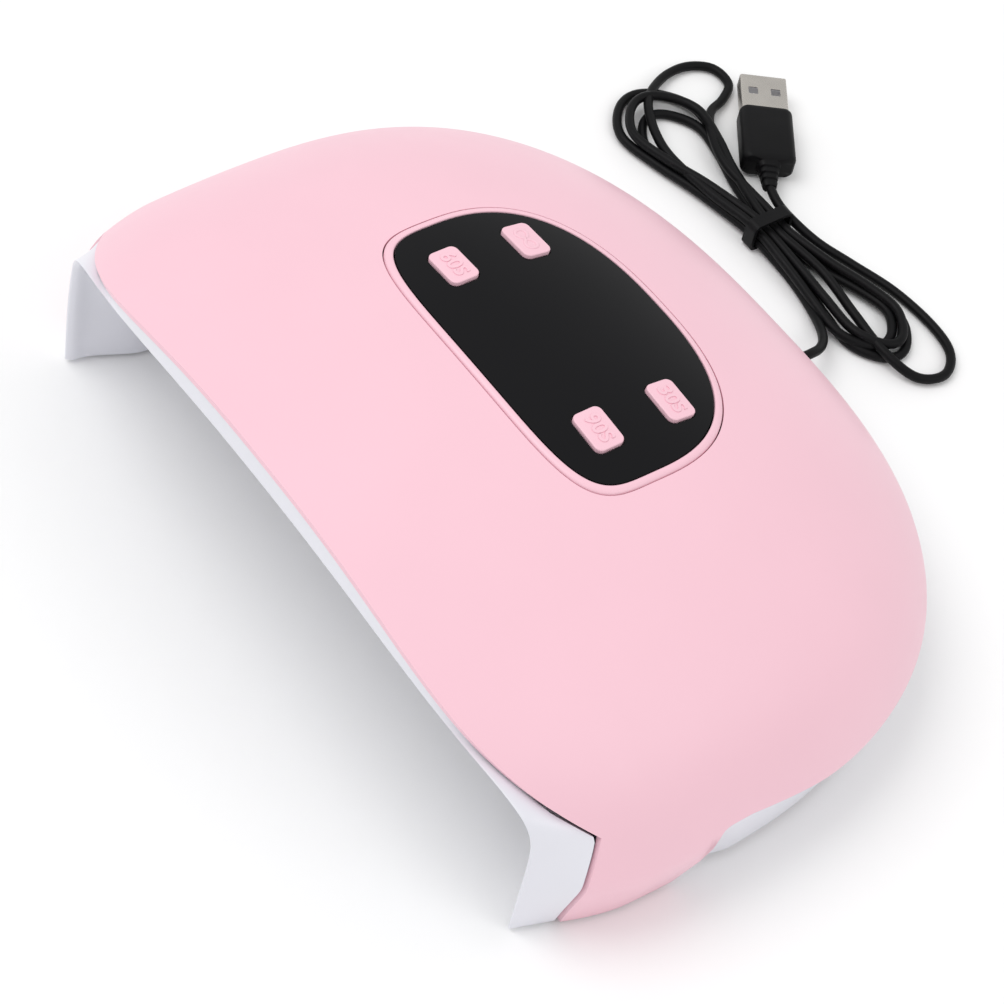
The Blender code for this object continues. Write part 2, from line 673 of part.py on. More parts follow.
def build_leds(liner):
    """Holes in the liner with a bead in each."""
    for number, frame in enumerate(led_frames(), 1):
        boolean(liner, turned("hole", ((LED_HOLE, -8.0), (LED_HOLE, 6.0)), "white_abs", frame, 12))
        profile = ((LED_RADIUS, -2.2), (LED_RADIUS, 0.2), (2.6, 1.3), (1.2, 1.9))
        turned(f"led_{number:02d}", profile, "clear_led", frame, 12)


def led_board(name, x_from, x_to):
    """A board bent over the liner's back, between two plan stations of X."""
    x = np.linspace(x_from, x_to, 6)
    y = np.linspace(-36.0, 22.0, 4)
    clearance = LINER_WALL + 1.5
    low = np.array([[(a, b, cavity_point(a, b) + clearance) for a in x] for b in y])
    add_object(name, slab_mesh(name, low + [0, 0, 1.0], low), "green_board")


# ---- base, cord and plug ---------------------------------------------------------------------


def smooth_route(points, count):
    """A Catmull-Rom curve through the points, sampled at count even distances."""
    points = [np.array(p, float) for p in points]
    ends = [2 * points[0] - points[1]] + points + [2 * points[-1] - points[-2]]
    curve = []
    for a, b, c, d in zip(ends, ends[1:], ends[2:], ends[3:]):
        for t in np.linspace(0, 1, 12, endpoint=False):
            square, cube = 2 * a - 5 * b + 4 * c - d, 3 * b - a - 3 * c + d
            curve.append(0.5 * (2 * b + (c - a) * t + square * t**2 + cube * t**3))
    curve.append(points[-1])
    return even(np.array(curve), count)


def build_cord():
    route = smooth_route(CORD_ROUTE, 9)
    curve = bpy.data.curves.new("cord_lead", "CURVE")
    curve.dimensions = "3D"
    curve.bevel_depth = CORD_DIAMETER / 2 * MM
    curve.bevel_resolution = 2
    curve.use_fill_caps = True
    spline = curve.splines.new("POLY")
    spline.points.add(len(route) - 1)
    for point, place in zip(spline.points, route):
        point.co = (*((place + [0, CENTRING_Y, 0]) * MM), 1)
    add_object("cord_lead", curve, "black_rubber")
    frame = Matrix.Translation((0, 0, GLAND_Z)) @ Matrix.Rotation(-math.pi / 2, 4, "X")
    profile = (
        (4.6, GLAND_START_Y),
        (4.6, GLAND_START_Y + 2.0),
        (2.9, GLAND_START_Y + 2.0),
        (2.9, GLAND_START_Y + 9.0),
        (2.5, GLAND_START_Y + 12.0),
        (1.7, GLAND_END_Y),
    )
    turned("cord_gland", profile, "black_rubber", frame, 16)


def hank_outline():
    """Plan outline of the tied hank: two lobes with a waist under the tie."""
    upper = [(-44.0, 101.2), (-56.0, 96.5), (-70.0, 91.5), (-82.0, 91.5), (-89.5, 96.5)]
    upper += [(-93.5, 105.0), (-95.0, 114.0), (-90.5, 119.0), (-83.0, 118.5), (-72.0, 112.8)]
    upper += [(-60.0, 108.6), (-50.0, 107.6), (-44.0, 108.2)]
    lower = [(-36.0, 108.4), (-22.0, 113.5), (-6.0, 119.0), (8.0, 122.0), (15.0, 115.5)]
    lower += [(15.0, 106.0), (9.0, 99.0)]
    lower += [(-1.0, 97.6), (-10.0, 100.4), (-18.0, 102.4), (-28.0, 101.8), (-36.0, 101.2)]
    return np.array(upper + lower)


def build_hank():
    """The hank as one flat block over its outline, and the tie round its waist."""
    prism("cord_hank", hank_outline(), HANK_Z, HANK_Z + HANK_HEIGHT, "black_rubber")
    outer, inner = rounded_rectangle(12.6, 8.2, 1.6, 3), rounded_rectangle(9.6, 6.6, 1.0, 3)
    near, far = TIE_X - TIE_WIDTH / 2, TIE_X + TIE_WIDTH / 2
    layers = []
    for outline, x in ((outer, near), (outer, far), (inner, far), (inner, near)):
        layers.append(np.insert(outline + [104.7, 4.1], 0, x, axis=1))
    hoop("twist_tie", layers, "black_rubber")


def build_plug():
    """A USB-A plug: a sheet-metal shell with a contact tongue, and a moulded grip with a neck."""
    frame = Matrix.Translation((*PLUG_TIP, PLUG_Z)) @ Matrix.Rotation(PLUG_HEADING, 4, "Z")
    frame = frame @ Matrix.Rotation(math.pi / 2, 4, "Y")
    case = prism("plug_shell", rounded_rectangle(4.5, 12.0, 0.6, 2), -12.0, 0.0, "bare_steel", frame)
    mouth = rounded_rectangle(3.9, 11.4, 0.4, 2)
    boolean(case, prism("mouth", mouth, -11.0, 1.0, "bare_steel", frame))
    tongue = rounded_rectangle(1.2, 10.6, 0.2, 1)
    beside = frame @ Matrix.Translation((0.9, 0, 0))
    prism("plug_tongue", tongue, -10.6, -0.8, "white_abs", beside)
    body = rounded_rectangle(7.0, 13.6, 2.0, 3)
    neck = rounded_rectangle(4.6, 5.6, 1.6, 3)
    levels = (
        (neck * 0.62, -38.0),
        (neck, -31.0),
        (body * 0.93, -30.2),
        (body, -29.0),
        (body, -13.4),
        (body * 0.95, -12.3),
    )
    through("plug_body", levels, "black_rubber", frame)


def build_base_hardware(liner):
    """Rubber feet under the flange and the screws that hold the liner to the cover."""
    for name, foot, screw in (
        ("front_left", (-84.6, -30.0), (-84.8, -18.0)),
        ("front_right", (84.6, -30.0), (84.8, -18.0)),
        ("rear_left", (-66.5, 49.5), (-74.8, 37.0)),
        ("rear_right", (66.5, 49.5), (74.8, 37.0)),
    ):
        place = Matrix.Translation((*foot, 0))
        turned(f"foot_{name}", ((2.8, 0.0), (2.8, BASE_BOTTOM - GAP)), "black_rubber", place, 20)
        place = Matrix.Translation((*screw, 0))
        boolean(liner, turned("hole", ((1.9, -1.0), (1.9, 6.0)), "white_abs", place, 12))
        head = BASE_BOTTOM - GAP
        profile = ((2.8, head - 0.6), (2.8, head), (1.2, head), (1.2, 11.0), (0.5, 12.2))
        turned(f"screw_{name}", profile, "bare_steel", place, 12)


def build():
    clear_scene()
    shell = slab_mesh("top_cover", cover_grid(0.0), cover_grid(COVER_WALL), first_row_open=False)
    cover = add_object("top_cover", shell, "pink_abs")
    opening = panel_outline(BEZEL_WIDTH + GAP)
    boolean(cover, prism("opening", opening, 40.0, 80.0, "pink_abs"))
    liner = add_object("inner_liner", liner_sheet(), "white_abs")
    boolean(liner, base_frame(), "UNION")
    rear = Matrix.Translation((0, 0, GLAND_Z)) @ Matrix.Rotation(-math.pi / 2, 4, "X")
    boolean(liner, turned("hole", ((2.9 + GAP, 64.2), (2.9 + GAP, 76.0)), "white_abs", rear, 16))
    build_posts(liner)
    build_leds(liner)
    build_base_hardware(liner)
    led_board("led_board_left", -56.0, -14.0)
    led_board("led_board_right", 14.0, 56.0)
    build_panel()
    build_buttons()
    build_electronics()
    build_cord()
    build_hank()
    build_plug()


build()
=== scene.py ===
"""UV LED nail lamp on a pale table: satin pink cover, white liner with two front legs, glossy black
control panel with four pink push buttons, and a thin USB cord tied in a hank behind it.

Lengths in the formulas are millimetres and become metres when a mesh is made. +X is the user's right,
the hand opening faces -Y and Z is up.
"""

import json
import math

import bmesh
import bpy
import numpy as np
from mathutils import Matrix, Vector

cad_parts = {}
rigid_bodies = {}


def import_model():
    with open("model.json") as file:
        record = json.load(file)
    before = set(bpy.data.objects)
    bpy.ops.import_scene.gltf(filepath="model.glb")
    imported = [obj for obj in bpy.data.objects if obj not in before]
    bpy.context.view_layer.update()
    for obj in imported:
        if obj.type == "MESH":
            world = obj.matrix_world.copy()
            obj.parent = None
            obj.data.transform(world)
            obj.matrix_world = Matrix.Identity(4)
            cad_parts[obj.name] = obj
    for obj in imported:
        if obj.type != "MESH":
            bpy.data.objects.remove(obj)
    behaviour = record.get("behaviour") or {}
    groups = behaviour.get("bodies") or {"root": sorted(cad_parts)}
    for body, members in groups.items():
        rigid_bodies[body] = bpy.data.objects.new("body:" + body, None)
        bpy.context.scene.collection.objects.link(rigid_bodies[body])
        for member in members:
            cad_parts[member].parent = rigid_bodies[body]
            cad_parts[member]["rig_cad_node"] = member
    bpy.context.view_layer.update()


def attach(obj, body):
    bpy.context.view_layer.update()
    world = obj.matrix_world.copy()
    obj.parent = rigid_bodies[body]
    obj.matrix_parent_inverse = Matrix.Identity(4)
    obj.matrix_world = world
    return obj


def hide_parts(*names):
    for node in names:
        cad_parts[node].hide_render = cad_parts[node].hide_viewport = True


bl_info = {
    "name": "UV LED nail lamp",
    "version": (1, 0, 0),
    "blender": (4, 5, 0),
    "location": "View3D > Sidebar > Nail lamp",
    "description": "Builds the visible surfaces, materials and stage of a UV LED nail lamp",
    "category": "Object",
}

MM = 0.001
CENTRING = (0.0, 0.95, 0.0)
BODY = "lamp"

HALF_WIDTH, WIDEST_Y, FRONT_TAPER, REAR_TAPER = 100.0, -19.3, 0.145, 0.129
NOSE_START_Y, NOSE_LENGTH, NOSE_NARROWING = -41.7, 24.7, 6.3
DOME_Y, DOME_DEPTH, PLAN_POWER = -13.8, 88.4, 2.77
CROWN, FRONT_SAG, REAR_SAG = 62.0, 0.054, 0.366
SECTION_POWER, SECTION_ROOT, SPRING_HEIGHT = 2.48, 2.2, 11.2
TUCK_TOP, WALL_TUCK, WALL_TOP, COVER_WALL = 20.0, 6.2, 24.6, 1.4
COVER_EDGE_Z, COVER_EDGE_RISE = 18.5, 4.6
FLOOR = 1.0
FRONT_Y, FRONT_SWEEP, FRONT_POWER, CORNER_R = -74.6, 36.5, 5.27, 0.942
FIN_BEND_Y, FIN_BEND_Z, FIN_FOOT_Y = -57.0, 15.0, -55.4
FIN_REAR_BOTTOM_Y, FIN_REAR_TOP_Y = -29.6, -20.0
ARCH_HALF, ARCH_TOP, ARCH_SAG, ARCH_SAG_POWER = 85.5, 53.0, 14.0, 2.4
ARCH_POWER, ARCH_ROOT = 14.0, 10.0
ARCH_FRONT_Y, ARCH_SWEEP = -74.2, 8.0
CAVITY_FRONT_Y, CAVITY_MID_Y, CAVITY_REAR_Y = -47.0, -5.0, 58.0
CAVITY_HALF, CAVITY_TOP = 79.0, 47.5
CAVITY_SAG, CAVITY_POWER, CAVITY_ROOT, CAVITY_DROP = 8.5, 6.0, 3.0, 14.0
LINER_WALL, BASE_BOTTOM, BASE_WALL_TOP, GAP = 2.0, 1.6, 25.6, 0.3
PANEL_HALF, PANEL_FRONT_Y, PANEL_REAR_Y, BEZEL_WIDTH = 38.6, -23.6, 25.8, 1.7
WINDOW_TOP, WINDOW_UNDER, WINDOW_RINGS = 0.25, -1.55, 26
BUTTON_SIZE, BUTTON_PROUD, BUTTON_CORNER, BUTTON_EDGE = (10.2, 7.2), 1.2, 1.6, 0.32
FLANGE_REACH, FLANGE_TOP, FLANGE_UNDER, STEM_END = 1.2, -1.85, -2.85, -3.2
LETTER_SIZE, LETTER_SPREAD, SIGN_RADIUS = 4.9, 0.09, 0.42
BUTTONS = (
    ("button_60s", -25.3, -11.0, "60S"),
    ("button_90s", 25.3, -11.0, "90S"),
    ("button_30s", 25.3, 8.2, "30S"),
    ("button_hold", -25.3, 8.2, ""),
)
CORD_DIAMETER = 2.4
GLAND_Z, GLAND_RINGS, GLAND_STEP = 9.0, 4, 1.9
TIE_X, TIE_Y, TIE_Z, TIE_HALF_LENGTH = -40.0, 104.7, 4.1, 1.7
STRAND_PITCH, STRAND_LOW, STRAND_RISE = 2.4, 2.1, 2.42
PLUG_TIP, PLUG_HEADING, PLUG_Z = (-80.8, 135.9), math.radians(144.0), 4.4
PLUG_GRIP_FRONT, PLUG_SHELL_LENGTH = -12.3, 12.0
FLOOR_HALF, CAMERA_LENS, CAMERA_SENSOR = 4.0, 107.6, 36.0
CAMERA_PLACE, CAMERA_TURN = (0.2897, -0.3150, 0.5120), (0.68413, -0.15741, 0.94183)


# ---- meshes --------------------------------------------------------------------------------------


def grid_faces(grid):
    """Quads between the rows and columns of a grid of point numbers."""
    corners = [grid[:-1, :-1], grid[1:, :-1], grid[1:, 1:], grid[:-1, 1:]]
    return np.stack(corners, -1).reshape(-1, 4).tolist()


def strip_faces(a, b):
    """Quads between two rows of point numbers."""
    return np.stack([a[:-1], a[1:], b[1:], b[:-1]], -1).tolist()


def in_metres(points):
    """Points of the formulas, in millimetres, as metres in the scene."""
    return (np.asarray(points, float) + CENTRING) * MM


def mesh_from(name, points, faces, sharp=40.0):
    """A mesh from points in millimetres, doubles merged and faces outward, smooth but for its edges."""
    mesh = bpy.data.meshes.new(name)
    mesh.from_pydata(in_metres(points).tolist(), [], faces)
    work = bmesh.new()
    work.from_mesh(mesh)
    bmesh.ops.remove_doubles(work, verts=work.verts, dist=0.01 * MM)
    bmesh.ops.recalc_face_normals(work, faces=work.faces)
    work.to_mesh(mesh)
    work.free()
    mesh.shade_smooth()
    mesh.set_sharp_from_angle(angle=math.radians(sharp))
    return mesh


def place(name, mesh, material, body=BODY, replaced=()):
    """An object on the body in one material, in place of the solids it stands for."""
    obj = bpy.data.objects.new(name, mesh)
    bpy.context.scene.collection.objects.link(obj)
    obj.data.materials.clear()
    obj.data.materials.append(material)
    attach(obj, body)
    if replaced:
        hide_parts(*replaced)
    return obj


def soften(obj, width, segments=3, angle=40.0):
    """A bevel on every edge sharper than the angle, applied, with its normals kept on the flats."""
    modifier = obj.modifiers.new("soft edges", "BEVEL")
    modifier.width = width * MM
    modifier.segments = segments
    modifier.limit_method = "ANGLE"
    modifier.angle_limit = math.radians(angle)
    modifier.harden_normals = True
    settle(obj)


def settle(obj):
    """Applies the object's modifiers to its mesh."""
    graph = bpy.context.evaluated_depsgraph_get()
    mesh = bpy.data.meshes.new_from_object(obj.evaluated_get(graph), depsgraph=graph)
    obj.modifiers.clear()
    obj.data = mesh


def cut(obj, cutter):
    """Takes the cutter's volume out of the object, and removes the cutter."""
    modifier = obj.modifiers.new("cut", "BOOLEAN")
    modifier.object = cutter
    settle(obj)
    bpy.data.objects.remove(cutter, do_unlink=True)


def loose(mesh):
    """An object that serves as a cutter only."""
    obj = bpy.data.objects.new("cutter", mesh)
    bpy.context.scene.collection.objects.link(obj)
    return obj


def slab(face, back, first_row_open=True):
    """Points and faces of a closed body between two grids of one size, joined along their edges."""
    rows, columns = face.shape[:2]
    index = np.arange(rows * columns).reshape(rows, columns)
    other = index + rows * columns
    faces = []
    for grid in (index, other[:, ::-1]):
        faces += grid_faces(grid)
    edges = [(other[-1], index[-1]), (other[:, 0], index[:, 0]), (index[:, -1], other[:, -1])]
    if first_row_open:
        edges.append((index[0], other[0]))
    for a, b in edges:
        faces += strip_faces(a, b)
    return np.concatenate([face.reshape(-1, 3), back.reshape(-1, 3)]), faces


def through(levels, frame=None):
    """Points and faces of a solid through (outline, height) levels, from bottom to top."""
    count = len(levels[0][0])
    points = [Vector((*point, height)) for outline, height in levels for point in outline]
    if frame is not None:
        points = [frame @ point for point in points]
    last = (len(levels) - 1) * count
    faces = [tuple(reversed(range(count))), tuple(range(last, last + count))]
    for base in range(0, last, count):
        faces += [
            (base + i, base + (i + 1) % count, base + count + (i + 1) % count, base + count + i)
            for i in range(count)
        ]
    return points, faces


def hoop(layers):
    """Points and faces of a closed hoop: outlines of one length, each joined to the next."""
    points = np.array(layers)
    index = np.arange(points.shape[0] * points.shape[1]).reshape(points.shape[:2])
    faces = []
    for a, b in zip(index, np.roll(index, -1, axis=0)):
        faces += np.stack([a, np.roll(a, -1), np.roll(b, -1), b], -1).tolist()
    return points.reshape(-1, 3), faces


def rounded_rectangle(length, width, radius, steps=8):
    """The outline of a rectangle about the origin, with each corner an arc of so many steps."""
    turn = np.linspace(0, math.pi / 2, steps + 1)
    corners = []
    for quarter, (sx, sy) in enumerate(((1, 1), (-1, 1), (-1, -1), (1, -1))):
        angle = turn + quarter * math.pi / 2
        arc = np.column_stack([np.cos(angle), np.sin(angle)]) * radius
        corners.append(arc + [sx * (length / 2 - radius), sy * (width / 2 - radius)])
    return np.concatenate(corners)


# ---- surfaces, as the solids have them -----------------------------------------------------------


def half_width(y):
    """Half the cover's width at station y: widest near the middle, narrowing more at the nose."""
    away = (y - WIDEST_Y) / 100
    width = HALF_WIDTH * (1 - np.where(away < 0, FRONT_TAPER, REAR_TAPER) * away**2)
    return width - NOSE_NARROWING * np.clip((NOSE_START_Y - y) / NOSE_LENGTH, 0, None) ** 1.6


def crown_height(y):
    """Height of the dome along its middle line."""
    away = (y - DOME_Y) / 100
    return CROWN * (1 - np.where(away < 0, FRONT_SAG, REAR_SAG) * away**2)


def dome_height(r, y, inset=0.0):
    """Height of the dome at r, which goes from 0 on its spine to 1 at its plan outline."""
    rise = np.clip(1 - np.clip(r, 0, 1) ** SECTION_POWER, 0, None) ** (1 / SECTION_ROOT)
    return SPRING_HEIGHT + (crown_height(y) - inset - SPRING_HEIGHT) * rise


def surface_z(x, y):
    """Height of the cover's outer surface above (x, y)."""
    x, y = np.asarray(x, float), np.asarray(y, float)
    back = np.clip((y - DOME_Y) / DOME_DEPTH, 0, None)
    r = ((np.abs(x) / half_width(y)) ** PLAN_POWER + back**PLAN_POWER) ** (1 / PLAN_POWER)
    return dome_height(r, y)


def wall_inset(z, y):
    """How far the side stands in from the plan outline at height z: the dome's own curve, and a
    tuck that grows towards the floor."""
    share = np.clip((z - SPRING_HEIGHT) / (crown_height(y) - SPRING_HEIGHT), 0, 1)
    dome = half_width(y) * (1 - (1 - share**SECTION_ROOT) ** (1 / SECTION_POWER))
    return dome + WALL_TUCK * np.clip(1 - z / TUCK_TOP, 0, 1)


def shell_columns(front_steps, rear_steps):
    """Columns round the shell from front left to front right, each (side, share forward, turn)."""
    forward = np.linspace(1, 0, front_steps, endpoint=False)
    turn = np.linspace(math.pi, 0, rear_steps + 1)
    return (
        [(-1, f, math.pi) for f in forward]
        + [(0, 0.0, t) for t in turn]
        + [(1, f, 0.0) for f in forward[::-1]]
    )


def shell_point(column, r, edge_y, inset, z=None, wall=0.0):
    """The shell's point on a column at r, on the dome or, where z is given, at that height."""
    side, forward, turn = column
    if side:
        y = DOME_Y + (edge_y - DOME_Y) * forward
        x = side * (r * (half_width(y) - inset - wall))
    else:
        cosine, sine = math.cos(turn), math.sin(turn)
        y = DOME_Y + r * (DOME_DEPTH - inset - wall) * abs(sine) ** (2 / PLAN_POWER)
        across = math.copysign(abs(cosine) ** (2 / PLAN_POWER), cosine)
        x = r * (half_width(y) - inset - wall) * across
    return x, y, dome_height(r, y, inset) if z is None else z


def rim_y(r):
    """Station of the cover's front rim, which sweeps back towards the sides."""
    y = FRONT_Y
    for _ in range(4):
        y = FRONT_Y + FRONT_SWEEP * (r * half_width(y) / HALF_WIDTH) ** FRONT_POWER
    return float(y)


CORNER_Y = rim_y(CORNER_R)
CORNER_Z = float(dome_height(CORNER_R, CORNER_Y))


def fin_front_y(z):
    """The fin's front edge sweeps forward below the rim's corner, then runs almost straight down."""
    above = np.clip((z - FIN_BEND_Z) / (CORNER_Z - FIN_BEND_Z), 0, 1.2)
    below = np.clip(1 - z / FIN_BEND_Z, 0, 1)
    return FIN_BEND_Y + (CORNER_Y - FIN_BEND_Y) * above**1.7 + (FIN_FOOT_Y - FIN_BEND_Y) * below**1.5


def cover_bottom(y):
    """Height of the cover's lower edge: on the floor along the fin, up its steep rear edge, highest
    just behind it and level from the middle to the back."""
    edge = COVER_EDGE_Z + COVER_EDGE_RISE * np.clip((12 - y) / 30, 0, 1)
    climb = np.clip((y - FIN_REAR_BOTTOM_Y) / (FIN_REAR_TOP_Y - FIN_REAR_BOTTOM_Y), 0, 1)
    return FLOOR + (edge - FLOOR) * (1 - (1 - climb) ** 6)


def cover_grid(inset):
    """Rows of the cover from its spine down to its lower edge: dome rows to the corner of the rim,
    a few beyond it, then the wall."""
    columns = shell_columns(44, 150)
    radii = list(np.sin(np.linspace(0, 1, 52) * math.pi / 2) * CORNER_R) + [0.95, 0.958, 0.966]
    rows = []
    for r in radii:
        edge = rim_y(r) if r <= CORNER_R else fin_front_y(float(dome_height(r, CORNER_Y)))
        rows.append([shell_point(c, r, edge, inset) for c in columns])
    for share in np.linspace(0, 1, 14):
        row = []
        for c in columns:
            y = DOME_Y + (CORNER_Y - DOME_Y) * c[1] if c[0] else 0.0
            for _ in range(3):
                z = WALL_TOP + (float(cover_bottom(y)) - WALL_TOP) * share
                x, y, _z = shell_point(c, 1.0, fin_front_y(z), inset, z, float(wall_inset(z, y)))
            row.append((x, y, z))
        rows.append(row)
    return np.array(rows)


def even(points, count):
    """The polyline resampled to count points at even distances."""
    steps = np.linalg.norm(np.diff(points, axis=0), axis=1)
    length = np.concatenate([[0], np.cumsum(steps)])
    wanted = np.linspace(0, length[-1], count)
    return np.column_stack([np.interp(wanted, length, points[:, k]) for k in range(3)])


def arch_line(y_front, count, inset=0.0):
    """The front arch over the hand, from foot to foot."""
    u = np.sin(np.linspace(-1, 1, 1601) * math.pi / 2)
    crown = ARCH_TOP - inset - ARCH_SAG * np.abs(u) ** ARCH_SAG_POWER
    rise = np.clip(1 - np.abs(u) ** ARCH_POWER, 0, None) ** (1 / ARCH_ROOT)
    z = FLOOR + (crown - FLOOR) * rise
    line = np.column_stack([u * (ARCH_HALF - inset), y_front + ARCH_SWEEP * np.abs(u) ** 4, z])
    return even(line, count)


def cavity_line(y, grow, count):
    """The hand cavity's section at station y, from floor to floor, grown outward."""
    back = max(0.0, (y - CAVITY_MID_Y) / (CAVITY_REAR_Y + grow - CAVITY_MID_Y))
    reach = max(0.0, 1 - back**PLAN_POWER) ** (1 / PLAN_POWER)
    u = np.sin(np.linspace(-1, 1, 1601) * math.pi / 2) * reach
    r = np.clip((np.abs(u) ** PLAN_POWER + back**PLAN_POWER) ** (1 / PLAN_POWER), 0, 1)
    rise = np.clip(1 - r**CAVITY_POWER, 0, None) ** (1 / CAVITY_ROOT)
    z = FLOOR + (CAVITY_TOP + grow - CAVITY_SAG * u**2 - CAVITY_DROP * back**2 - FLOOR) * rise
    z[[0, -1]] = FLOOR
    return even(np.column_stack([u * (CAVITY_HALF + grow), np.full(len(u), y), z]), count)


def liner_rim_line(count, inset_arch, inset_fin, shift_arch, shift_fin):
    """The liner's edge inside the cover's fins and rim, from foot to foot over the crown."""
    half = []
    for z in np.linspace(FLOOR, WALL_TOP, 14):
        y = fin_front_y(z)
        half.append((half_width(y) - float(wall_inset(z, y)) - inset_fin, y + shift_fin, z))
    for r in np.concatenate([[0.965, 0.954], np.linspace(CORNER_R, 0, 120)]):
        if r > CORNER_R:
            y, inset, shift = fin_front_y(float(dome_height(r, CORNER_Y))), inset_fin, shift_fin
        else:
            y = rim_y(r)
            inset = inset_fin + (inset_arch - inset_fin) * min(1.0, (CORNER_R - r) / 0.03)
            onto_arch = min(1.0, max(0.0, CORNER_R - 0.04 - r) / 0.05)
            shift = shift_fin + (shift_arch - shift_fin) * onto_arch
        half.append((r * (half_width(y) - inset), y + shift, float(dome_height(r, y, inset))))
    half = np.array(half)
    return even(np.concatenate([half * [-1, 1, 1], half[::-1][1:]]), count)


def liner_grids(count=181):
    """The liner's face and back: rim, fascia, rounded nose of the arch, funnel and hand cavity."""
    rim = liner_rim_line(count, COVER_WALL + 1.7 * GAP, 0.8, 0.5, -0.8)
    rim_back = liner_rim_line(count, COVER_WALL + GAP + 1.8, 2.6, 2.3, -0.5)
    nose = arch_line(ARCH_FRONT_Y, count)
    nose_in = arch_line(ARCH_FRONT_Y + 2.2, count, 1.2)
    mouth, mouth_back = (cavity_line(CAVITY_FRONT_Y, grow, count) for grow in (0.0, LINER_WALL))
    heart = nose + 0.45 * (rim_back - nose) + 0.35 * (mouth_back - nose)
    heart[[0, -1], 2] = FLOOR
    face = [rim + (nose - rim) * share for share in np.linspace(0, 0.9, 8)]
    back = [rim_back + (heart - rim_back) * share for share in np.linspace(0, 0.9, 8)]
    before = rim + (nose - rim) * 0.9
    for share in np.linspace(0.2, 1, 5):
        face.append(before * (1 - share) ** 2 + nose * 2 * share * (1 - share) + nose_in * share**2)
        back.append(heart + (mouth_back - heart) * 0.2 * share)
    for share in np.linspace(0, 1, 14)[1:-1]:
        ease = share * share * (3 - 2 * share)
        step = nose_in + (mouth - nose_in) * ease
        step[:, 1] = nose_in[:, 1] + (mouth[:, 1] - nose_in[:, 1]) * share
        face.append(step)
        back.append(heart + (mouth_back - heart) * (0.2 + 0.8 * share))
    for y in np.linspace(CAVITY_FRONT_Y, CAVITY_MID_Y, 8):
        face.append(cavity_line(y, 0.0, count))
        back.append(cavity_line(y, LINER_WALL, count))
    for turn in np.linspace(0, math.pi / 2, 30)[1:]:
        for rows, grow in ((face, 0.0), (back, LINER_WALL)):
            y = CAVITY_MID_Y + (CAVITY_REAR_Y + grow - CAVITY_MID_Y) * math.sin(turn)
            rows.append(cavity_line(y, grow, count))
    return np.array(face), np.array(back)


def base_rings():
    """The base wall and its flange, carried round the sides and the rear."""
    flange_top, inner_half = BASE_BOTTOM + 2.0, CAVITY_HALF + 1.0
    profile = [("in", BASE_BOTTOM)]
    profile += [("out", z) for z in (BASE_BOTTOM, 4.0, 10.0, COVER_EDGE_Z, 22.0, BASE_WALL_TOP)]
    profile += [("back", z) for z in (BASE_WALL_TOP, 22.0, 10.0, flange_top)]
    profile += [("in", flange_top)]
    rows = []
    for side, forward, turn in shell_columns(26, 130):
        column = (side, forward * 0.92, turn)
        y = DOME_Y + (CORNER_Y - DOME_Y) * column[1] if side else 0.0
        ring = []
        for where, z in profile:
            foot = WALL_TUCK + (LINER_WALL + 2 * GAP) * np.clip((-15.0 - y) / 12.0, 0, 1)
            share = min(1.0, (z - BASE_BOTTOM) / (COVER_EDGE_Z - BASE_BOTTOM))
            station = y if side else DOME_Y + DOME_DEPTH * abs(math.sin(turn))
            head = float(wall_inset(max(z, COVER_EDGE_Z), station)) + COVER_WALL + 6 * GAP
            inset = foot + (head - foot) * share + (LINER_WALL if where == "back" else 0.0)
            if where != "in":
                x, y, _z = shell_point(column, 1.0, CORNER_Y, 0.0, z, inset)
                ring.append((x, y, z))
            elif side:
                ring.append((side * inner_half, y, z))
            else:
                cosine, sine = math.cos(turn), abs(math.sin(turn))
                x = inner_half * math.copysign(abs(cosine) ** (2 / PLAN_POWER), cosine)
                start = DOME_Y + (CAVITY_MID_Y - DOME_Y) * sine**0.5
                ring.append((x, start + (CAVITY_REAR_Y + 1.0 - start) * sine ** (2 / PLAN_POWER), z))
        rows.append(ring)
    return np.array(rows)


def panel_outline(grow=0.0, count=180):
    """The panel's outline in plan, squarer in front than behind, grown outward."""
    angle = np.linspace(0, 2 * math.pi, count, endpoint=False)
    middle = PANEL_FRONT_Y + (PANEL_REAR_Y - PANEL_FRONT_Y) * 0.36
    sine, cosine = np.sin(angle), np.cos(angle)
    power = np.where(sine > 0, 2.45, 4.2)
    across = np.sign(cosine) * np.abs(cosine) ** (2 / power)
    along = np.sign(sine) * np.abs(sine) ** (2 / power)
    reach = np.where(sine > 0, PANEL_REAR_Y - middle, middle - PANEL_FRONT_Y)
    return np.column_stack([(PANEL_HALF + grow) * across, middle + (reach + grow) * along])


def surface_frame(x, y):
    """A frame on the cover at (x, y): its z along the surface's normal, its x to the right."""
    step = 0.5
    slope_x = (surface_z(x + step, y) - surface_z(x - step, y)) / (2 * step)
    slope_y = (surface_z(x, y + step) - surface_z(x, y - step)) / (2 * step)
    normal = Vector((-float(slope_x), -float(slope_y), 1)).normalized()
    right = Vector((1, 0, float(slope_x))).normalized()
    turn = Matrix((right, normal.cross(right), normal)).transposed().to_4x4()
    return Matrix.Translation((x, y, float(surface_z(x, y)))) @ turn


# ---- cord route ----------------------------------------------------------------------------------


def smooth_route(points, step=1.2):
    """A Catmull-Rom curve through the points, sampled at even distances."""
    points = [np.array(p, float) for p in points]
    ends = [2 * points[0] - points[1]] + points + [2 * points[-1] - points[-2]]
    curve = []
    for a, b, c, d in zip(ends, ends[1:], ends[2:], ends[3:]):
        for t in np.linspace(0, 1, 16, endpoint=False):
            square, cube = 2 * a - 5 * b + 4 * c - d, 3 * b - a - 3 * c + d
            curve.append(0.5 * (2 * b + (c - a) * t + square * t**2 + cube * t**3))
    curve = np.array(curve + [points[-1]])
    length = np.linalg.norm(np.diff(curve, axis=0), axis=1).sum()
    return even(curve, int(length / step))


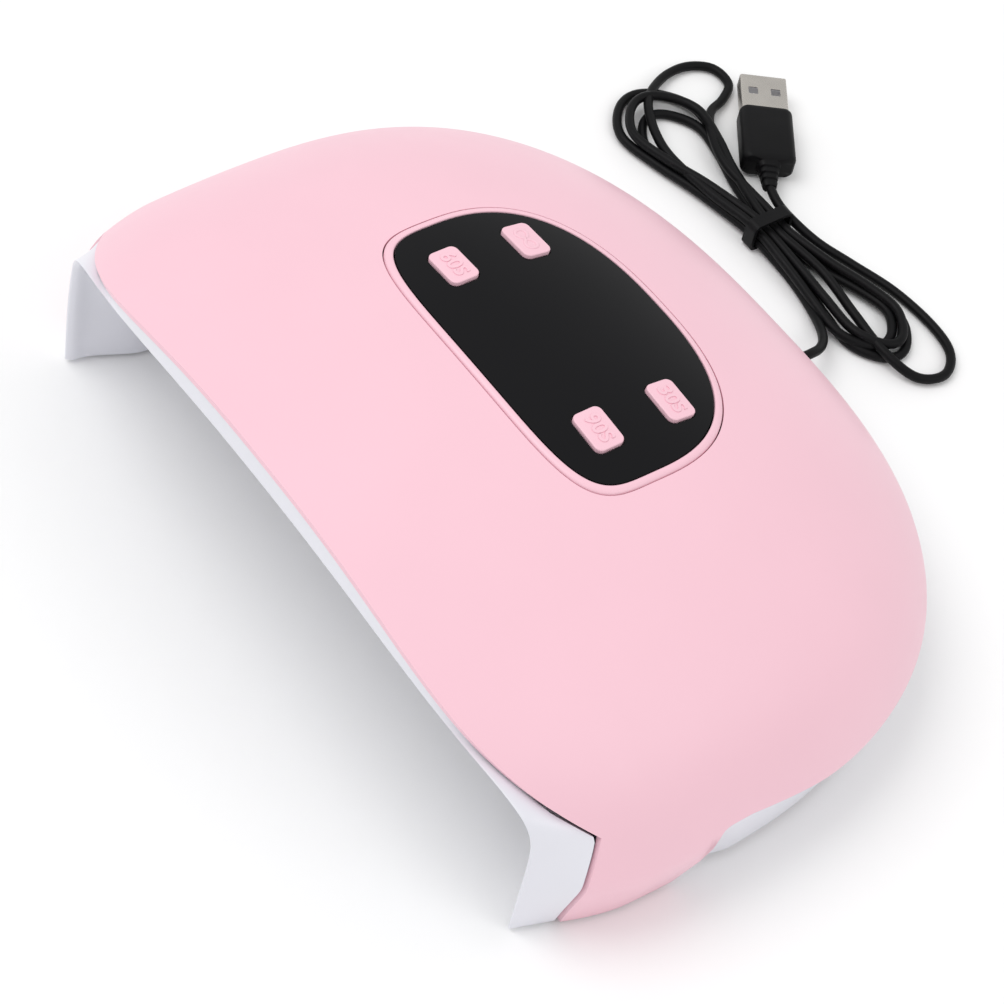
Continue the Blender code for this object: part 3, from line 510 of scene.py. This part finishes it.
def slot(column, layer):
    """Where a strand passes the tie: four columns across and two layers high."""
    return TIE_Y + (column - 1.5) * STRAND_PITCH, STRAND_LOW + layer * STRAND_RISE


def lobe(side, near, far, length, low, high, rise):
    """Points of one loop of the hank, from the tie out and back. near and far are the slots that
    it leaves and enters, low and high its two sides, and rise its height at the end."""
    (ya, za), (yb, zb) = near, far
    middle, x0 = (low + high) / 2, TIE_X + side * 4.5
    points = [(TIE_X, ya, za), (x0, ya, za)]
    out = ((0.3, 0.35), (0.55, 0.78), (0.78, 1.0))
    points += [(x0 + side * length * s, ya + (low - ya) * t, za + (rise - za) * s) for s, t in out]
    points += [(x0 + side * length * 0.94, low + (middle - low) * 0.42, rise)]
    points += [(x0 + side * length, middle, rise)]
    points += [(x0 + side * length * 0.94, high + (middle - high) * 0.42, rise)]
    home = out[::-1]
    points += [(x0 + side * length * s, yb + (high - yb) * t, zb + (rise - zb) * s) for s, t in home]
    return points + [(x0, yb, zb)]


def cord_points():
    """The whole cord: out of the gland, down to the table, through the tie eight times, and back
    along the outside of the tie to the plug's neck."""
    lead = [(0.0, 80.3, 9.0), (-0.2, 84.2, 8.5), (-1.3, 88.2, 7.0), (-4.0, 92.2, 5.0), (-8.2, 95.6, 3.2)]
    lead += [(-13.6, 98.2, 2.0), (-19.8, 100.0, 1.5), (-27.0, 101.0, 1.6), (-35.5, 101.1, 2.1)]
    route = lead
    route += lobe(-1, slot(0, 0), slot(3, 0), 50.0, 93.2, 116.5, 1.4)
    route += lobe(1, slot(3, 0), slot(1, 0), 42.0, 117.0, 100.0, 1.4)
    route += lobe(-1, slot(1, 0), slot(2, 0), 42.0, 96.6, 113.2, 1.4)
    route += lobe(1, slot(2, 0), slot(0, 1), 38.0, 114.8, 98.8, 2.6)
    thin = [(TIE_X, *slot(0, 1)), (TIE_X - 4.5, *slot(0, 1)), (-58.0, 99.0, 4.0), (-74.0, 98.6, 3.8)]
    thin += [(-88.0, 104.5, 3.8), (-95.0, 114.0, 2.2), (-96.8, 123.5, 1.4), (-93.2, 130.0, 1.4)]
    thin += [(-86.6, 130.4, 1.4), (-82.6, 125.2, 1.5), (-79.6, 118.6, 2.6), (-73.0, 113.2, 3.9)]
    thin += [(-62.0, 108.9, 4.2), (TIE_X - 5.5, *slot(3, 1))]
    route += thin
    route += lobe(1, slot(3, 1), slot(1, 1), 40.0, 116.0, 101.8, 3.9)
    route += lobe(-1, slot(1, 1), slot(2, 1), 46.5, 94.6, 115.0, 3.8)
    big = [(TIE_X, *slot(2, 1)), (TIE_X + 4.5, *slot(2, 1)), (-22.0, 107.2, 4.4), (-8.0, 105.6, 4.0)]
    big += [(5.0, 104.4, 3.6), (14.0, 107.6, 1.8), (16.6, 114.6, 1.4), (12.0, 120.6, 1.4), (3.0, 122.6, 1.4)]
    big += [(-10.0, 121.6, 1.4), (-22.0, 117.8, 1.6), (-31.0, 114.4, 2.2), (-39.0, 112.7, 3.2)]
    big += [(-45.0, 112.3, 4.1), (-50.3, 113.9, 4.4), (-53.0, 115.9, 4.4)]
    return smooth_route(route + big)


# ---- shader graph --------------------------------------------------------------------------------


class Socket:
    """A value in a node tree that adds, multiplies and subtracts like a number."""

    def __init__(self, tree, output):
        self.tree, self.output = tree, output

    def _math(self, operation, other):
        node = self.tree.nodes.new("ShaderNodeMath")
        node.operation = operation
        self.tree.links.new(self.output, node.inputs[0])
        if isinstance(other, Socket):
            self.tree.links.new(other.output, node.inputs[1])
        else:
            node.inputs[1].default_value = other
        return Socket(self.tree, node.outputs[0])

    def __add__(self, other):
        return self._math("ADD", other)

    def __sub__(self, other):
        return self._math("SUBTRACT", other)

    def __mul__(self, other):
        return self._math("MULTIPLY", other)


class Look:
    """A Principled material under construction."""

    def __init__(self, name, colour, roughness, **constants):
        self.material = bpy.data.materials.new(name)
        self.material.use_nodes = True
        self.tree = self.material.node_tree
        self.shader = self.tree.nodes["Principled BSDF"]
        self.shader.inputs["Base Color"].default_value = (*colour, 1.0)
        self.shader.inputs["Roughness"].default_value = roughness
        for key, value in constants.items():
            self.shader.inputs[key.replace("_", " ")].default_value = value
        self.colour = colour
        coordinates = self.tree.nodes.new("ShaderNodeTexCoord")
        self.place = coordinates.outputs["Object"]

    def noise(self, scale_mm, detail=2.0, stretch=(1, 1, 1)):
        """Noise around 0.5 whose features are about scale_mm across."""
        mapping = self.tree.nodes.new("ShaderNodeMapping")
        mapping.inputs["Scale"].default_value = stretch
        node = self.tree.nodes.new("ShaderNodeTexNoise")
        node.inputs["Scale"].default_value = 1000.0 / scale_mm
        node.inputs["Detail"].default_value = detail
        self.tree.links.new(self.place, mapping.inputs["Vector"])
        self.tree.links.new(mapping.outputs[0], node.inputs["Vector"])
        return Socket(self.tree, node.outputs["Fac"])

    def tint(self, value, darker, lighter):
        """Base colour between two multiples of the look's colour as value goes from 0 to 1."""
        ramp = self.tree.nodes.new("ShaderNodeMix")
        ramp.data_type = "RGBA"
        ramp.inputs["A"].default_value = (*(c * darker for c in self.colour), 1.0)
        ramp.inputs["B"].default_value = (*(min(1.0, c * lighter) for c in self.colour), 1.0)
        self.tree.links.new(value.output, ramp.inputs["Factor"])
        self.tree.links.new(ramp.outputs["Result"], self.shader.inputs["Base Color"])
        return self

    def rough(self, value):
        self.tree.links.new(value.output, self.shader.inputs["Roughness"])
        return self

    def bump(self, value, height_mm):
        node = self.tree.nodes.new("ShaderNodeBump")
        node.inputs["Distance"].default_value = height_mm * MM
        node.inputs["Strength"].default_value = 1.0
        self.tree.links.new(value.output, node.inputs["Height"])
        self.tree.links.new(node.outputs[0], self.shader.inputs["Normal"])
        return self


def pink_plastic(settings):
    """Satin pink ABS: a fine moulded grain, faint cloudiness and a soft sheen."""
    colour = tuple(settings.cover_colour)
    look = Look("pink satin plastic", colour, 0.42, Coat_Weight=0.12, Coat_Roughness=0.3)
    look.tint(look.noise(38.0, 3.0), 0.97, 1.03)
    look.rough(look.noise(6.0, 3.0) * 0.1 + 0.38)
    return look.bump(look.noise(0.5, 1.0), 0.006).material


def white_plastic(settings):
    """White ABS with a faint blue cast, smoother than the cover."""
    colour = tuple(settings.liner_colour)
    look = Look("white plastic", colour, 0.3, Coat_Weight=0.1, Coat_Roughness=0.2)
    look.tint(look.noise(30.0, 2.0), 0.975, 1.02)
    look.rough(look.noise(9.0, 3.0) * 0.1 + 0.27)
    return look.bump(look.noise(0.7, 1.0), 0.003).material


def black_gloss(settings):
    """Polished black acrylic with the least waviness and a few faint smears."""
    roughness = settings.window_roughness
    look = Look("black gloss", (0.006, 0.006, 0.007), roughness, Specular_IOR_Level=0.12)
    look.rough(look.noise(14.0, 4.0, (1.0, 0.45, 1.0)) * 0.08 + (roughness - 0.03))
    return look.bump(look.noise(9.0, 1.0), 0.004).material


def black_rubber(settings):
    """Matte black PVC: slightly uneven sheen along the run."""
    look = Look("black rubber", (0.0035, 0.0035, 0.004), 0.5, Specular_IOR_Level=0.14)
    look.tint(look.noise(7.0, 3.0), 0.8, 1.5)
    look.rough(look.noise(4.0, 3.0) * 0.2 + 0.36)
    return look.bump(look.noise(0.6, 2.0), 0.012).material


def bright_metal():
    """Stamped nickel-plated shell with fine drawing lines and warm patches."""
    look = Look("plated steel", (0.60, 0.57, 0.53), 0.25, Metallic=1.0)
    look.tint(look.noise(5.0, 3.0), 0.86, 1.08)
    look.rough(look.noise(0.5, 3.0, (1.0, 1.0, 4.0)) * 0.16 + 0.2)
    return look.bump(look.noise(0.4, 2.0), 0.004).material


def green_board():
    """Solder mask over faint copper fill."""
    look = Look("solder mask", (0.02, 0.13, 0.05), 0.35)
    look.tint(look.noise(3.0, 2.0), 0.8, 1.3)
    look.rough(look.noise(1.5, 3.0) * 0.15 + 0.28)
    return look.bump(look.noise(1.0, 2.0), 0.01).material


def led_lens():
    """Clear cured lens over a pale yellow phosphor."""
    look = Look("led lens", (0.80, 0.74, 0.30), 0.12, Coat_Weight=1.0, Coat_Roughness=0.03)
    look.tint(look.noise(2.4, 2.0), 0.75, 1.2)
    return look.rough(look.noise(2.0, 2.0) * 0.08 + 0.08).material


def kept(name, maker, *arguments):
    """The scene's one material of this kind."""
    store = bpy.context.scene.get("lamp_looks")
    if store is None:
        bpy.context.scene["lamp_looks"] = {}
        store = bpy.context.scene["lamp_looks"]
    if name not in store:
        store[name] = maker(*arguments).name
    return bpy.data.materials[store[name]]


def looks():
    """Every material by its short name."""
    settings = bpy.context.scene.nail_lamp
    return {
        "pink": kept("pink", pink_plastic, settings),
        "white": kept("white", white_plastic, settings),
        "gloss": kept("gloss", black_gloss, settings),
        "rubber": kept("rubber", black_rubber, settings),
        "metal": kept("metal", bright_metal),
        "board": kept("board", green_board),
        "led": kept("led", led_lens),
    }


# ---- settings and operators ----------------------------------------------------------------------


class NailLampSettings(bpy.types.PropertyGroup):
    cover_colour: bpy.props.FloatVectorProperty(
        name="Cover colour", description="Colour of the cover, ring and buttons", subtype="COLOR",
        size=3, min=0.0, max=1.0, default=(0.90, 0.56, 0.645),
    )
    liner_colour: bpy.props.FloatVectorProperty(
        name="Liner colour", description="Colour of the liner and base", subtype="COLOR",
        size=3, min=0.0, max=1.0, default=(0.80, 0.80, 0.86),
    )
    window_roughness: bpy.props.FloatProperty(
        name="Window roughness", description="How blurred the window's reflections are",
        default=0.1, min=0.03, max=0.6, subtype="FACTOR",
    )
    edge_radius: bpy.props.FloatProperty(
        name="Edge radius", description="Rounding of the cover's edges, in millimetres",
        default=0.55, min=0.05, max=0.9,
    )
    mark_height: bpy.props.FloatProperty(
        name="Mark height", description="How far the marks stand on the caps, in millimetres",
        default=0.22, min=0.05, max=0.3,
    )


class NAILLAMP_OT_cover(bpy.types.Operator):
    """Builds the pink cover with its rim, fins and the opening for the panel"""

    bl_idname = "naillamp.cover"
    bl_label = "Cover"

    def execute(self, context):
        points, faces = slab(cover_grid(0.0), cover_grid(COVER_WALL), first_row_open=False)
        mesh = mesh_from("cover_skin", points, faces)
        cover = place("cover_skin", mesh, looks()["pink"], BODY, ["top_cover"])
        opening = panel_outline(BEZEL_WIDTH + 0.25, 120)
        cut(cover, loose(mesh_from("opening", *through(((opening, 40.0), (opening, 80.0))))))
        soften(cover, context.scene.nail_lamp.edge_radius, 3, 50.0)
        return {"FINISHED"}


class NAILLAMP_OT_liner(bpy.types.Operator):
    """Builds the white liner with its fascia, legs and hand cavity, and the base wall"""

    bl_idname = "naillamp.liner"
    bl_label = "Liner and base"

    def execute(self, context):
        white = looks()["white"]
        mesh = mesh_from("liner_skin", *slab(*liner_grids()))
        place("liner_skin", mesh, white, BODY, ["inner_liner"])
        rings = base_rings()
        count, around = rings.shape[:2]
        index = np.arange(count * around).reshape(count, around)
        faces = [tuple(index[0]), tuple(index[-1][::-1])]
        for k in range(around):
            faces += strip_faces(index[:, k], index[:, (k + 1) % around])
        base = place("base_skin", mesh_from("base_skin", rings.reshape(-1, 3), faces), white)
        return {"FINISHED"}


class NAILLAMP_OT_panel(bpy.types.Operator):
    """Builds the glossy window, with a hole for each cap, and the pink ring round it"""

    bl_idname = "naillamp.panel"
    bl_label = "Panel"

    def execute(self, context):
        self.window()
        self.ring()
        return {"FINISHED"}

    def window(self):
        """A plate that follows the dome, as rings from its outline to its middle."""
        outline = panel_outline(-GAP)
        centre = np.array([0.0, outline[:, 1].mean()])
        rings = []
        for height in (WINDOW_TOP, WINDOW_UNDER):
            for share in np.linspace(1, 0, WINDOW_RINGS):
                ring = centre + (outline - centre) * share
                rings.append(np.column_stack([ring, surface_z(ring[:, 0], ring[:, 1]) + height]))
        rings = np.array(rings).reshape(2, WINDOW_RINGS, len(outline), 3)
        wrapped = np.concatenate([rings, rings[:, :, :1]], axis=2)
        index = np.arange(wrapped[0].size // 3).reshape(WINDOW_RINGS, -1)
        faces = grid_faces(index) + grid_faces(index[:, ::-1] + index.size)
        faces += strip_faces(index[0], index[0] + index.size)
        mesh = mesh_from("window_skin", wrapped.reshape(-1, 3), faces)
        window = place("window_skin", mesh, looks()["gloss"], BODY, ["panel_window"])
        length, width = BUTTON_SIZE
        hole = rounded_rectangle(length + 2 * GAP, width + 2 * GAP, BUTTON_CORNER + GAP)
        for _name, x, y, _mark in BUTTONS:
            body = through(((hole, -6), (hole, 6)), surface_frame(x, y))
            cut(window, loose(mesh_from("hole", *body)))
        soften(window, 0.15, 2, 50.0)

    def ring(self):
        """The rounded bezel ring between the window and the cover."""
        outer, inner = panel_outline(BEZEL_WIDTH), panel_outline(0.0)
        profile = [(1.0, -0.9), (1.0, -0.25), (0.96, 0.0), (0.86, 0.22), (0.68, 0.4), (0.45, 0.5)]
        profile += [(0.22, 0.49), (0.08, 0.41), (0.0, 0.22), (0.0, -2.6), (1.0, -2.6)]
        layers = []
        for share, height in profile:
            line = inner + (outer - inner) * share
            layers.append(np.column_stack([line, surface_z(line[:, 0], line[:, 1]) + height]))
        mesh = mesh_from("ring_skin", *hoop(layers), 60.0)
        ring = place("ring_skin", mesh, looks()["pink"], BODY, ["panel_bezel"])


class NAILLAMP_OT_buttons(bpy.types.Operator):
    """Builds the four push-button caps and the raised mark on each"""

    bl_idname = "naillamp.buttons"
    bl_label = "Buttons"

    def execute(self, context):
        pink = looks()["pink"]
        length, width = BUTTON_SIZE
        height = context.scene.nail_lamp.mark_height
        for name, x, y, mark in BUTTONS:
            frame = surface_frame(x, y)
            reach = 2 * FLANGE_REACH
            flange = rounded_rectangle(length + reach, width + reach, BUTTON_CORNER)
            cap = rounded_rectangle(length, width, BUTTON_CORNER)
            stem = rounded_rectangle(3.0, 3.0, 0.8)
            levels = [(stem, STEM_END), (stem, FLANGE_UNDER)]
            levels += [(flange, FLANGE_UNDER), (flange, FLANGE_TOP), (cap, FLANGE_TOP)]
            top = BUTTON_PROUD - height
            for turn in np.linspace(0, math.pi / 2, 6):
                inset = BUTTON_EDGE * (1 - math.cos(turn))
                outline = rounded_rectangle(length - 2 * inset, width - 2 * inset, BUTTON_CORNER - inset)
                levels.append((outline, top - BUTTON_EDGE + BUTTON_EDGE * math.sin(turn)))
            mesh = mesh_from(name, *through(levels, frame), 50.0)
            place(name + "_cap", mesh, pink, name, [name])
            mesh = self.mark_mesh(context, mark, frame, top, height)
            raised = place(name + "_mark", mesh, pink, name)
        return {"FINISHED"}

    def mark_mesh(self, context, mark, frame, top, height):
        """The mark's mesh in metres on the cap: raised letters, or a figure of eight on its side."""
        if mark:
            curve = bpy.data.curves.new("mark", "FONT")
            curve.body, curve.align_x, curve.align_y = mark, "CENTER", "CENTER"
            curve.size, curve.extrude, curve.offset = LETTER_SIZE, height, LETTER_SPREAD
        else:
            curve = bpy.data.curves.new("mark", "CURVE")
            curve.dimensions, curve.bevel_depth, curve.bevel_resolution = "3D", SIGN_RADIUS, 3
            turn = np.linspace(0, 2 * math.pi, 72, endpoint=False)
            share = 1 + np.sin(turn) ** 2
            line = np.column_stack([3.1 * np.cos(turn) / share, 3.9 * np.sin(turn) * np.cos(turn) / share])
            spline = curve.splines.new("POLY")
            spline.points.add(len(line) - 1)
            spline.use_cyclic_u = True
            for point, (a, b) in zip(spline.points, line):
                point.co = (a, b, 0, 1)
        maker = bpy.data.objects.new("mark", curve)
        context.scene.collection.objects.link(maker)
        graph = context.evaluated_depsgraph_get()
        mesh = bpy.data.meshes.new_from_object(maker.evaluated_get(graph), depsgraph=graph)
        bpy.data.objects.remove(maker, do_unlink=True)
        squeeze = Matrix.Diagonal((1, 1, 1 if mark else height / SIGN_RADIUS * 0.95, 1))
        world = Matrix.Scale(MM, 4) @ Matrix.Translation(CENTRING) @ frame
        mesh.transform(world @ Matrix.Translation((0, 0, top)) @ squeeze)
        return mesh


class NAILLAMP_OT_inside(bpy.types.Operator):
    """Gives the boards, LEDs, screws, feet and other small solids their materials"""

    bl_idname = "naillamp.inside"
    bl_label = "Small solids"

    def execute(self, context):
        found = looks()
        kinds = (("board_screw", "metal"), ("screw", "metal"), ("led_board", "board"), ("control", "board"))
        kinds += (("led_", "led"), ("digit", "gloss"), ("switch", "rubber"), ("foot", "rubber"))
        kinds += (("plug_tongue", "white"),)
        for obj in list(bpy.data.objects):
            node = obj.get("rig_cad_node")
            if not node or obj.hide_render:
                continue
            for start, look in kinds:
                if node.startswith(start):
                    obj.data.materials.clear()
                    obj.data.materials.append(found[look])
                    break
        return {"FINISHED"}


class NAILLAMP_OT_cord(bpy.types.Operator):
    """Builds the strain relief, the whole cord with its hank, and the tie"""

    bl_idname = "naillamp.cord"
    bl_label = "Cord"

    def execute(self, context):
        rubber = looks()["rubber"]
        line = cord_points()
        curve = bpy.data.curves.new("cord", "CURVE")
        curve.dimensions, curve.bevel_depth, curve.bevel_resolution = "3D", CORD_DIAMETER / 2 * MM, 4
        curve.use_fill_caps = True
        spline = curve.splines.new("POLY")
        spline.points.add(len(line) - 1)
        for point, at in zip(spline.points, in_metres(line)):
            point.co = (*at, 1)
        cord = place("cord", curve, rubber, BODY, ["cord_lead", "cord_hank"])
        gland, tie = self.gland(rubber), self.tie(rubber)
        return {"FINISHED"}

    def gland(self, rubber):
        """The strain relief: a collar behind the base wall, and a ringed sleeve that narrows."""
        frame = Matrix.Translation((0, 0, GLAND_Z)) @ Matrix.Rotation(-math.pi / 2, 4, "X")
        angle = np.linspace(0, 2 * math.pi, 40, endpoint=False)
        circle = np.column_stack([np.cos(angle), np.sin(angle)])
        profile = [(4.6, 62.0), (4.6, 64.0), (2.9, 64.0), (2.9, 71.6)]
        for k in range(GLAND_RINGS):
            start, radius = 71.8 + k * GLAND_STEP, 2.9 - k * 0.28
            profile += [(radius - 0.35, start), (radius - 0.35, start + 0.5), (radius, start + 0.6)]
            profile += [(radius - 0.08, start + 1.8)]
        profile += [(1.75, 79.6), (1.5, 80.0)]
        mesh = mesh_from("gland_skin", *through([(circle * r, z) for r, z in profile], frame))
        gland = place("gland_skin", mesh, rubber, BODY, ["cord_gland"])
        return gland

    def tie(self, rubber):
        """A flat band round the waist of the hank."""
        outer, inner = rounded_rectangle(12.6, 8.2, 1.9), rounded_rectangle(10.6, 6.8, 1.3)
        layers = []
        for share, end in ((1, -1), (1, 1), (0, 1), (0, -1)):
            outline = inner + (outer - inner) * share
            layers.append(np.insert(outline + [TIE_Y, TIE_Z], 0, TIE_X + end * TIE_HALF_LENGTH, axis=1))
        band = place("tie_band", mesh_from("tie_band", *hoop(layers)), rubber, BODY, ["twist_tie"])
        return band


class NAILLAMP_OT_plug(bpy.types.Operator):
    """Builds the USB-A plug's moulded grip and its sheet-metal shell"""

    bl_idname = "naillamp.plug"
    bl_label = "Plug"

    def execute(self, context):
        frame = Matrix.Translation((*PLUG_TIP, PLUG_Z)) @ Matrix.Rotation(PLUG_HEADING, 4, "Z")
        frame = frame @ Matrix.Rotation(math.pi / 2, 4, "Y")
        self.grip(frame)
        self.case(frame)
        return {"FINISHED"}

    def grip(self, frame):
        """The moulded body with its ringed neck."""
        body, neck = rounded_rectangle(7.0, 13.6, 2.0), rounded_rectangle(4.6, 5.6, 1.6)
        levels = [(neck * 0.55, -38.0), (neck * 0.62, -37.6)]
        for k in range(3):
            start, scale = -36.6 + k * 1.9, 0.68 + k * 0.1
            levels += [(neck * scale, start), (neck * (scale - 0.12), start + 0.2)]
            levels += [(neck * (scale - 0.12), start + 0.8), (neck * (scale + 0.04), start + 1.0)]
        levels += [(neck, -31.0), (neck * 1.1, -30.6), (body * 0.9, -30.3)]
        levels += [(body * 0.97, -29.8), (body, -29.0), (body, PLUG_GRIP_FRONT - 1.1)]
        levels += [(body * 0.985, PLUG_GRIP_FRONT - 0.5), (body * 0.94, PLUG_GRIP_FRONT)]
        mesh = mesh_from("plug_grip", *through(levels, frame))
        grip = place("plug_grip", mesh, looks()["rubber"], BODY, ["plug_body"])

    def case(self, frame):
        """The folded metal shell, open at the tip, with two latch holes in its top."""
        shell, mouth = rounded_rectangle(4.5, 12.0, 0.6), rounded_rectangle(3.9, 11.4, 0.4)
        mesh = mesh_from("plug_case", *through(((shell, -PLUG_SHELL_LENGTH), (shell, 0.0)), frame))
        case = place("plug_case", mesh, looks()["metal"], BODY, ["plug_shell"])
        mouth_body = through(((mouth, 1.0 - PLUG_SHELL_LENGTH), (mouth, 1.0)), frame)
        cut(case, loose(mesh_from("mouth", *mouth_body)))
        square = rounded_rectangle(2.4, 2.4, 0.2)
        for across in (-2.9, 2.9):
            hole = frame @ Matrix.Translation((-2.2, across, -5.6)) @ Matrix.Rotation(math.pi / 2, 4, "Y")
            cut(case, loose(mesh_from("hole", *through(((square, -1.0), (square, 1.0)), hole))))
        soften(case, 0.08, 2, 50.0)


class NAILLAMP_OT_stage(bpy.types.Operator):
    """Sets the pale floor, the soft light and the camera"""

    bl_idname = "naillamp.stage"
    bl_label = "Stage"

    def execute(self, context):
        floor = bpy.data.meshes.new("floor")
        corners = [(a * FLOOR_HALF, b * FLOOR_HALF, 0) for a, b in ((-1, -1), (1, -1), (1, 1), (-1, 1))]
        floor.from_pydata(corners, [], [(0, 1, 2, 3)])
        table = bpy.data.objects.new("floor", floor)
        context.scene.collection.objects.link(table)
        paint = Look("pale floor", (0.965, 0.965, 0.965), 0.8)
        paint.rough(paint.noise(400.0, 2.0) * 0.05 + 0.78)
        floor.materials.append(paint.material)
        world = bpy.data.worlds.new("soft white")
        context.scene.world = world
        world.use_nodes = True
        tree = world.node_tree
        tree.nodes.clear()
        out, path = tree.nodes.new("ShaderNodeOutputWorld"), tree.nodes.new("ShaderNodeLightPath")
        around, seen = tree.nodes.new("ShaderNodeBackground"), tree.nodes.new("ShaderNodeBackground")
        around.inputs["Strength"].default_value = 0.93
        seen.inputs["Strength"].default_value = 1.0
        choose = tree.nodes.new("ShaderNodeMixShader")
        tree.links.new(path.outputs["Is Camera Ray"], choose.inputs["Fac"])
        tree.links.new(around.outputs[0], choose.inputs[1])
        tree.links.new(seen.outputs[0], choose.inputs[2])
        tree.links.new(choose.outputs[0], out.inputs["Surface"])
        self.area(context, "key light", (-0.5, -0.5, 1.4), 1.2, 9.0)
        self.area(context, "fill light", (1.2, 0.4, 1.1), 1.0, 3.0)
        context.scene.view_settings.view_transform = "Standard"
        camera = bpy.data.objects.new("camera", bpy.data.cameras.new("camera"))
        camera.data.sensor_width, camera.data.lens = CAMERA_SENSOR, CAMERA_LENS
        context.scene.collection.objects.link(camera)
        camera.location = CAMERA_PLACE
        camera.rotation_euler = CAMERA_TURN
        context.scene.camera = camera
        return {"FINISHED"}

    def area(self, context, name, at, size, power):
        """A round soft light, turned to the lamp."""
        lamp = bpy.data.lights.new(name, "AREA")
        lamp.shape, lamp.size, lamp.energy = "DISK", size, power
        obj = bpy.data.objects.new(name, lamp)
        context.scene.collection.objects.link(obj)
        obj.location = at
        obj.rotation_euler = Vector(at).to_track_quat("Z", "Y").to_euler()


class NAILLAMP_PT_panel(bpy.types.Panel):
    """Buttons that build the nail lamp, and its settings"""

    bl_idname = "NAILLAMP_PT_panel"
    bl_label = "Nail lamp"
    bl_space_type = "VIEW_3D"
    bl_region_type = "UI"
    bl_category = "Nail lamp"

    def draw(self, context):
        settings = context.scene.nail_lamp
        for name in settings.bl_rna.properties.keys():
            if name not in ("rna_type", "name"):
                self.layout.prop(settings, name)
        for operator in OPERATORS:
            self.layout.operator(operator.bl_idname)


OPERATORS = (
    NAILLAMP_OT_stage,
    NAILLAMP_OT_plug,
    NAILLAMP_OT_cord,
    NAILLAMP_OT_cover,
    NAILLAMP_OT_liner,
    NAILLAMP_OT_panel,
    NAILLAMP_OT_buttons,
    NAILLAMP_OT_inside,
)
CLASSES = (NailLampSettings, *OPERATORS, NAILLAMP_PT_panel)


def register():
    for cls in CLASSES:
        bpy.utils.register_class(cls)
    bpy.types.Scene.nail_lamp = bpy.props.PointerProperty(type=NailLampSettings)


def unregister():
    del bpy.types.Scene.nail_lamp
    for cls in reversed(CLASSES):
        bpy.utils.unregister_class(cls)


def main():
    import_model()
    register()
    for operator in OPERATORS:
        group, name = operator.bl_idname.split(".")
        getattr(getattr(bpy.ops, group), name)()


if __name__ == "__main__":
    main()
